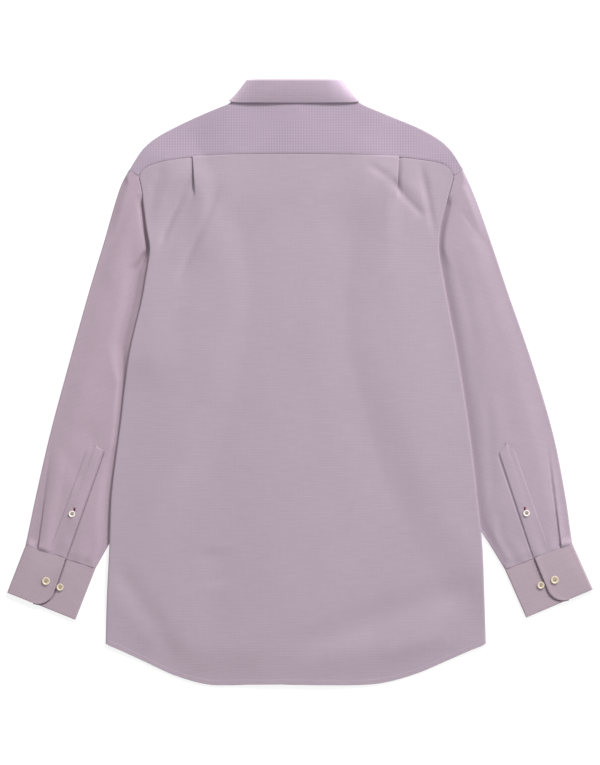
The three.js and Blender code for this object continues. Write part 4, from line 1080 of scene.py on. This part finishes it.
def button_material(name, colour, middle):
    shell = bpy.data.materials.new(name)
    shell.use_nodes = True
    nodes, links = shell.node_tree.nodes, shell.node_tree.links
    shader = nodes["Principled BSDF"]
    shader.inputs["Roughness"].default_value = 0.28
    shader.inputs["Specular IOR Level"].default_value = 0.55
    shader.inputs["Subsurface Weight"].default_value = 0.12
    shader.inputs["Subsurface Radius"].default_value = (0.0012, 0.001, 0.0007)
    places = nodes.new("ShaderNodeTexCoord")
    clouds = nodes.new("ShaderNodeTexNoise")
    clouds.inputs["Scale"].default_value = 260.0
    clouds.inputs["Detail"].default_value = 4.0
    clouds.inputs["Distortion"].default_value = 1.6
    ramp = nodes.new("ShaderNodeValToRGB")
    ramp.color_ramp.elements[0].position = 0.3
    ramp.color_ramp.elements[1].position = 0.7
    ramp.color_ramp.elements[0].color = (*middle, 1)
    ramp.color_ramp.elements[1].color = (*colour, 1)
    links.new(places.outputs["Object"], clouds.inputs["Vector"])
    links.new(clouds.outputs["Fac"], ramp.inputs["Fac"])
    links.new(ramp.outputs["Color"], shader.inputs["Base Color"])
    return shell


IVORY = (button_material("ivory_shell", (0.74, 0.66, 0.52), (0.62, 0.52, 0.38)),
         button_material("ivory_middle", (0.62, 0.51, 0.37), (0.48, 0.37, 0.25)))
PALE = (button_material("pale_shell", (0.90, 0.86, 0.80), (0.80, 0.73, 0.65)),
        button_material("pale_middle", (0.50, 0.42, 0.38), (0.36, 0.29, 0.26)))
BUTTON_THREAD = thread_material("button_thread", (0.34, 0.26, 0.22))


def disc_with_holes(bm, radius, height):
    hole_rings = []
    edges = []

    def ring(centre, size, count):
        turns = [2 * math.pi * i / count for i in range(count)]
        verts = [bm.verts.new((centre[0] + size * math.cos(a), centre[1] + size * math.sin(a), height))
                 for a in turns]
        edges.extend(bm.edges.new((a, b)) for a, b in zip(verts, verts[1:] + verts[:1]))
        return verts

    outside = ring((0, 0), BUTTON_TURN["out"][0] * radius, 40)
    for quarter in range(4):
        angle = (quarter + 0.5) * math.pi / 2
        centre = (HOLE_PLACE * radius * math.cos(angle), HOLE_PLACE * radius * math.sin(angle))
        hole_rings.append(ring(centre, HOLE_SIZE * radius, 14))
    bmesh.ops.triangle_fill(bm, use_beauty=True, use_dissolve=False, edges=edges, normal=(0, 0, 1))
    return outside, hole_rings


def make_button(name, node, materials, size, bars_turned):
    radius, thickness = size[0] / 2000, size[1] / 1000
    bm = bmesh.new()
    outside, hole_rings = disc_with_holes(bm, radius, BUTTON_TURN["up"][0] * thickness)
    for face in bm.faces:
        face.material_index = 2
    ring = outside
    for out, up in zip(BUTTON_TURN["out"][1:], BUTTON_TURN["up"][1:]):
        nxt = [bm.verts.new((v.co.x * out / BUTTON_TURN["out"][0], v.co.y * out / BUTTON_TURN["out"][0],
                             up * thickness)) for v in outside]
        for a, b, c, d in zip(ring, nxt, nxt[1:] + nxt[:1], ring[1:] + ring[:1]):
            bm.faces.new((a, b, c, d)).material_index = 0 if out > 0.58 else 2
        ring = nxt
    bm.faces.new(ring[::-1])
    for hole in hole_rings:
        deep = [bm.verts.new((v.co.x, v.co.y, 0.08 * thickness)) for v in hole]
        for a, b, c, d in zip(hole, hole[1:] + hole[:1], deep[1:] + deep[:1], deep):
            bm.faces.new((a, b, c, d))
        bm.faces.new(deep)
    for bar in (-1, 1):
        add_bar(bm, radius, thickness, bar, bars_turned)
    mesh = bpy.data.meshes.new(name)
    bm.to_mesh(mesh)
    bm.free()
    for face in mesh.polygons:
        face.use_smooth = face.material_index == 1 or abs(face.normal.z) < 0.999
    for material in (materials[0], BUTTON_THREAD, materials[1]):
        mesh.materials.append(material)
    low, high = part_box(node)
    piece = bpy.data.objects.new(name, mesh)
    piece.location = ((low[0] + high[0]) / 2, (low[1] + high[1]) / 2, low[2])
    scene.collection.objects.link(piece)
    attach(piece, "root")
    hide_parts(node)
    return piece


# A bar of thread bowed from one hole to the next
def add_bar(bm, radius, thickness, bar, turned):
    reach = HOLE_PLACE * radius * math.sqrt(0.5)
    thick = 0.055 * radius
    rings = []
    for t in np.linspace(-1, 1, 9):
        place = Vector((t * reach, bar * reach, thickness * (0.55 + 0.3 * (1 - t * t))))
        if turned:
            place = Vector((place.y, -place.x, place.z))
        side = Vector((0, 1, 0)) if not turned else Vector((1, 0, 0))
        rings.append([
            bm.verts.new(place + side * (1.7 * thick * math.cos(a)) + Vector((0, 0, thick * math.sin(a))))
            for a in np.linspace(0, 2 * math.pi, 8, endpoint=False)])
    for one, two in zip(rings, rings[1:]):
        for i in range(8):
            face = bm.faces.new((one[i], one[i - 1], two[i - 1], two[i]))
            face.material_index = 1


for i in range(7):
    make_button(f"front_button_{i + 1}_shell", f"front_button_{i + 1}", IVORY, BUTTON_SIZES["front"], i % 2)
make_button("collar_button_shell", "collar_button", IVORY, BUTTON_SIZES["collar"], 0)
for side in ("left", "right"):
    make_button(f"placket_button_{side}_shell", f"gauntlet_button_{side}", PALE, BUTTON_SIZES["placket"], 1)
    for which in ("outer", "inner"):
        node = f"cuff_button_{which}_{side}"
        make_button(f"{node}_shell", node, IVORY, BUTTON_SIZES[f"cuff_{which}"], which == "outer")
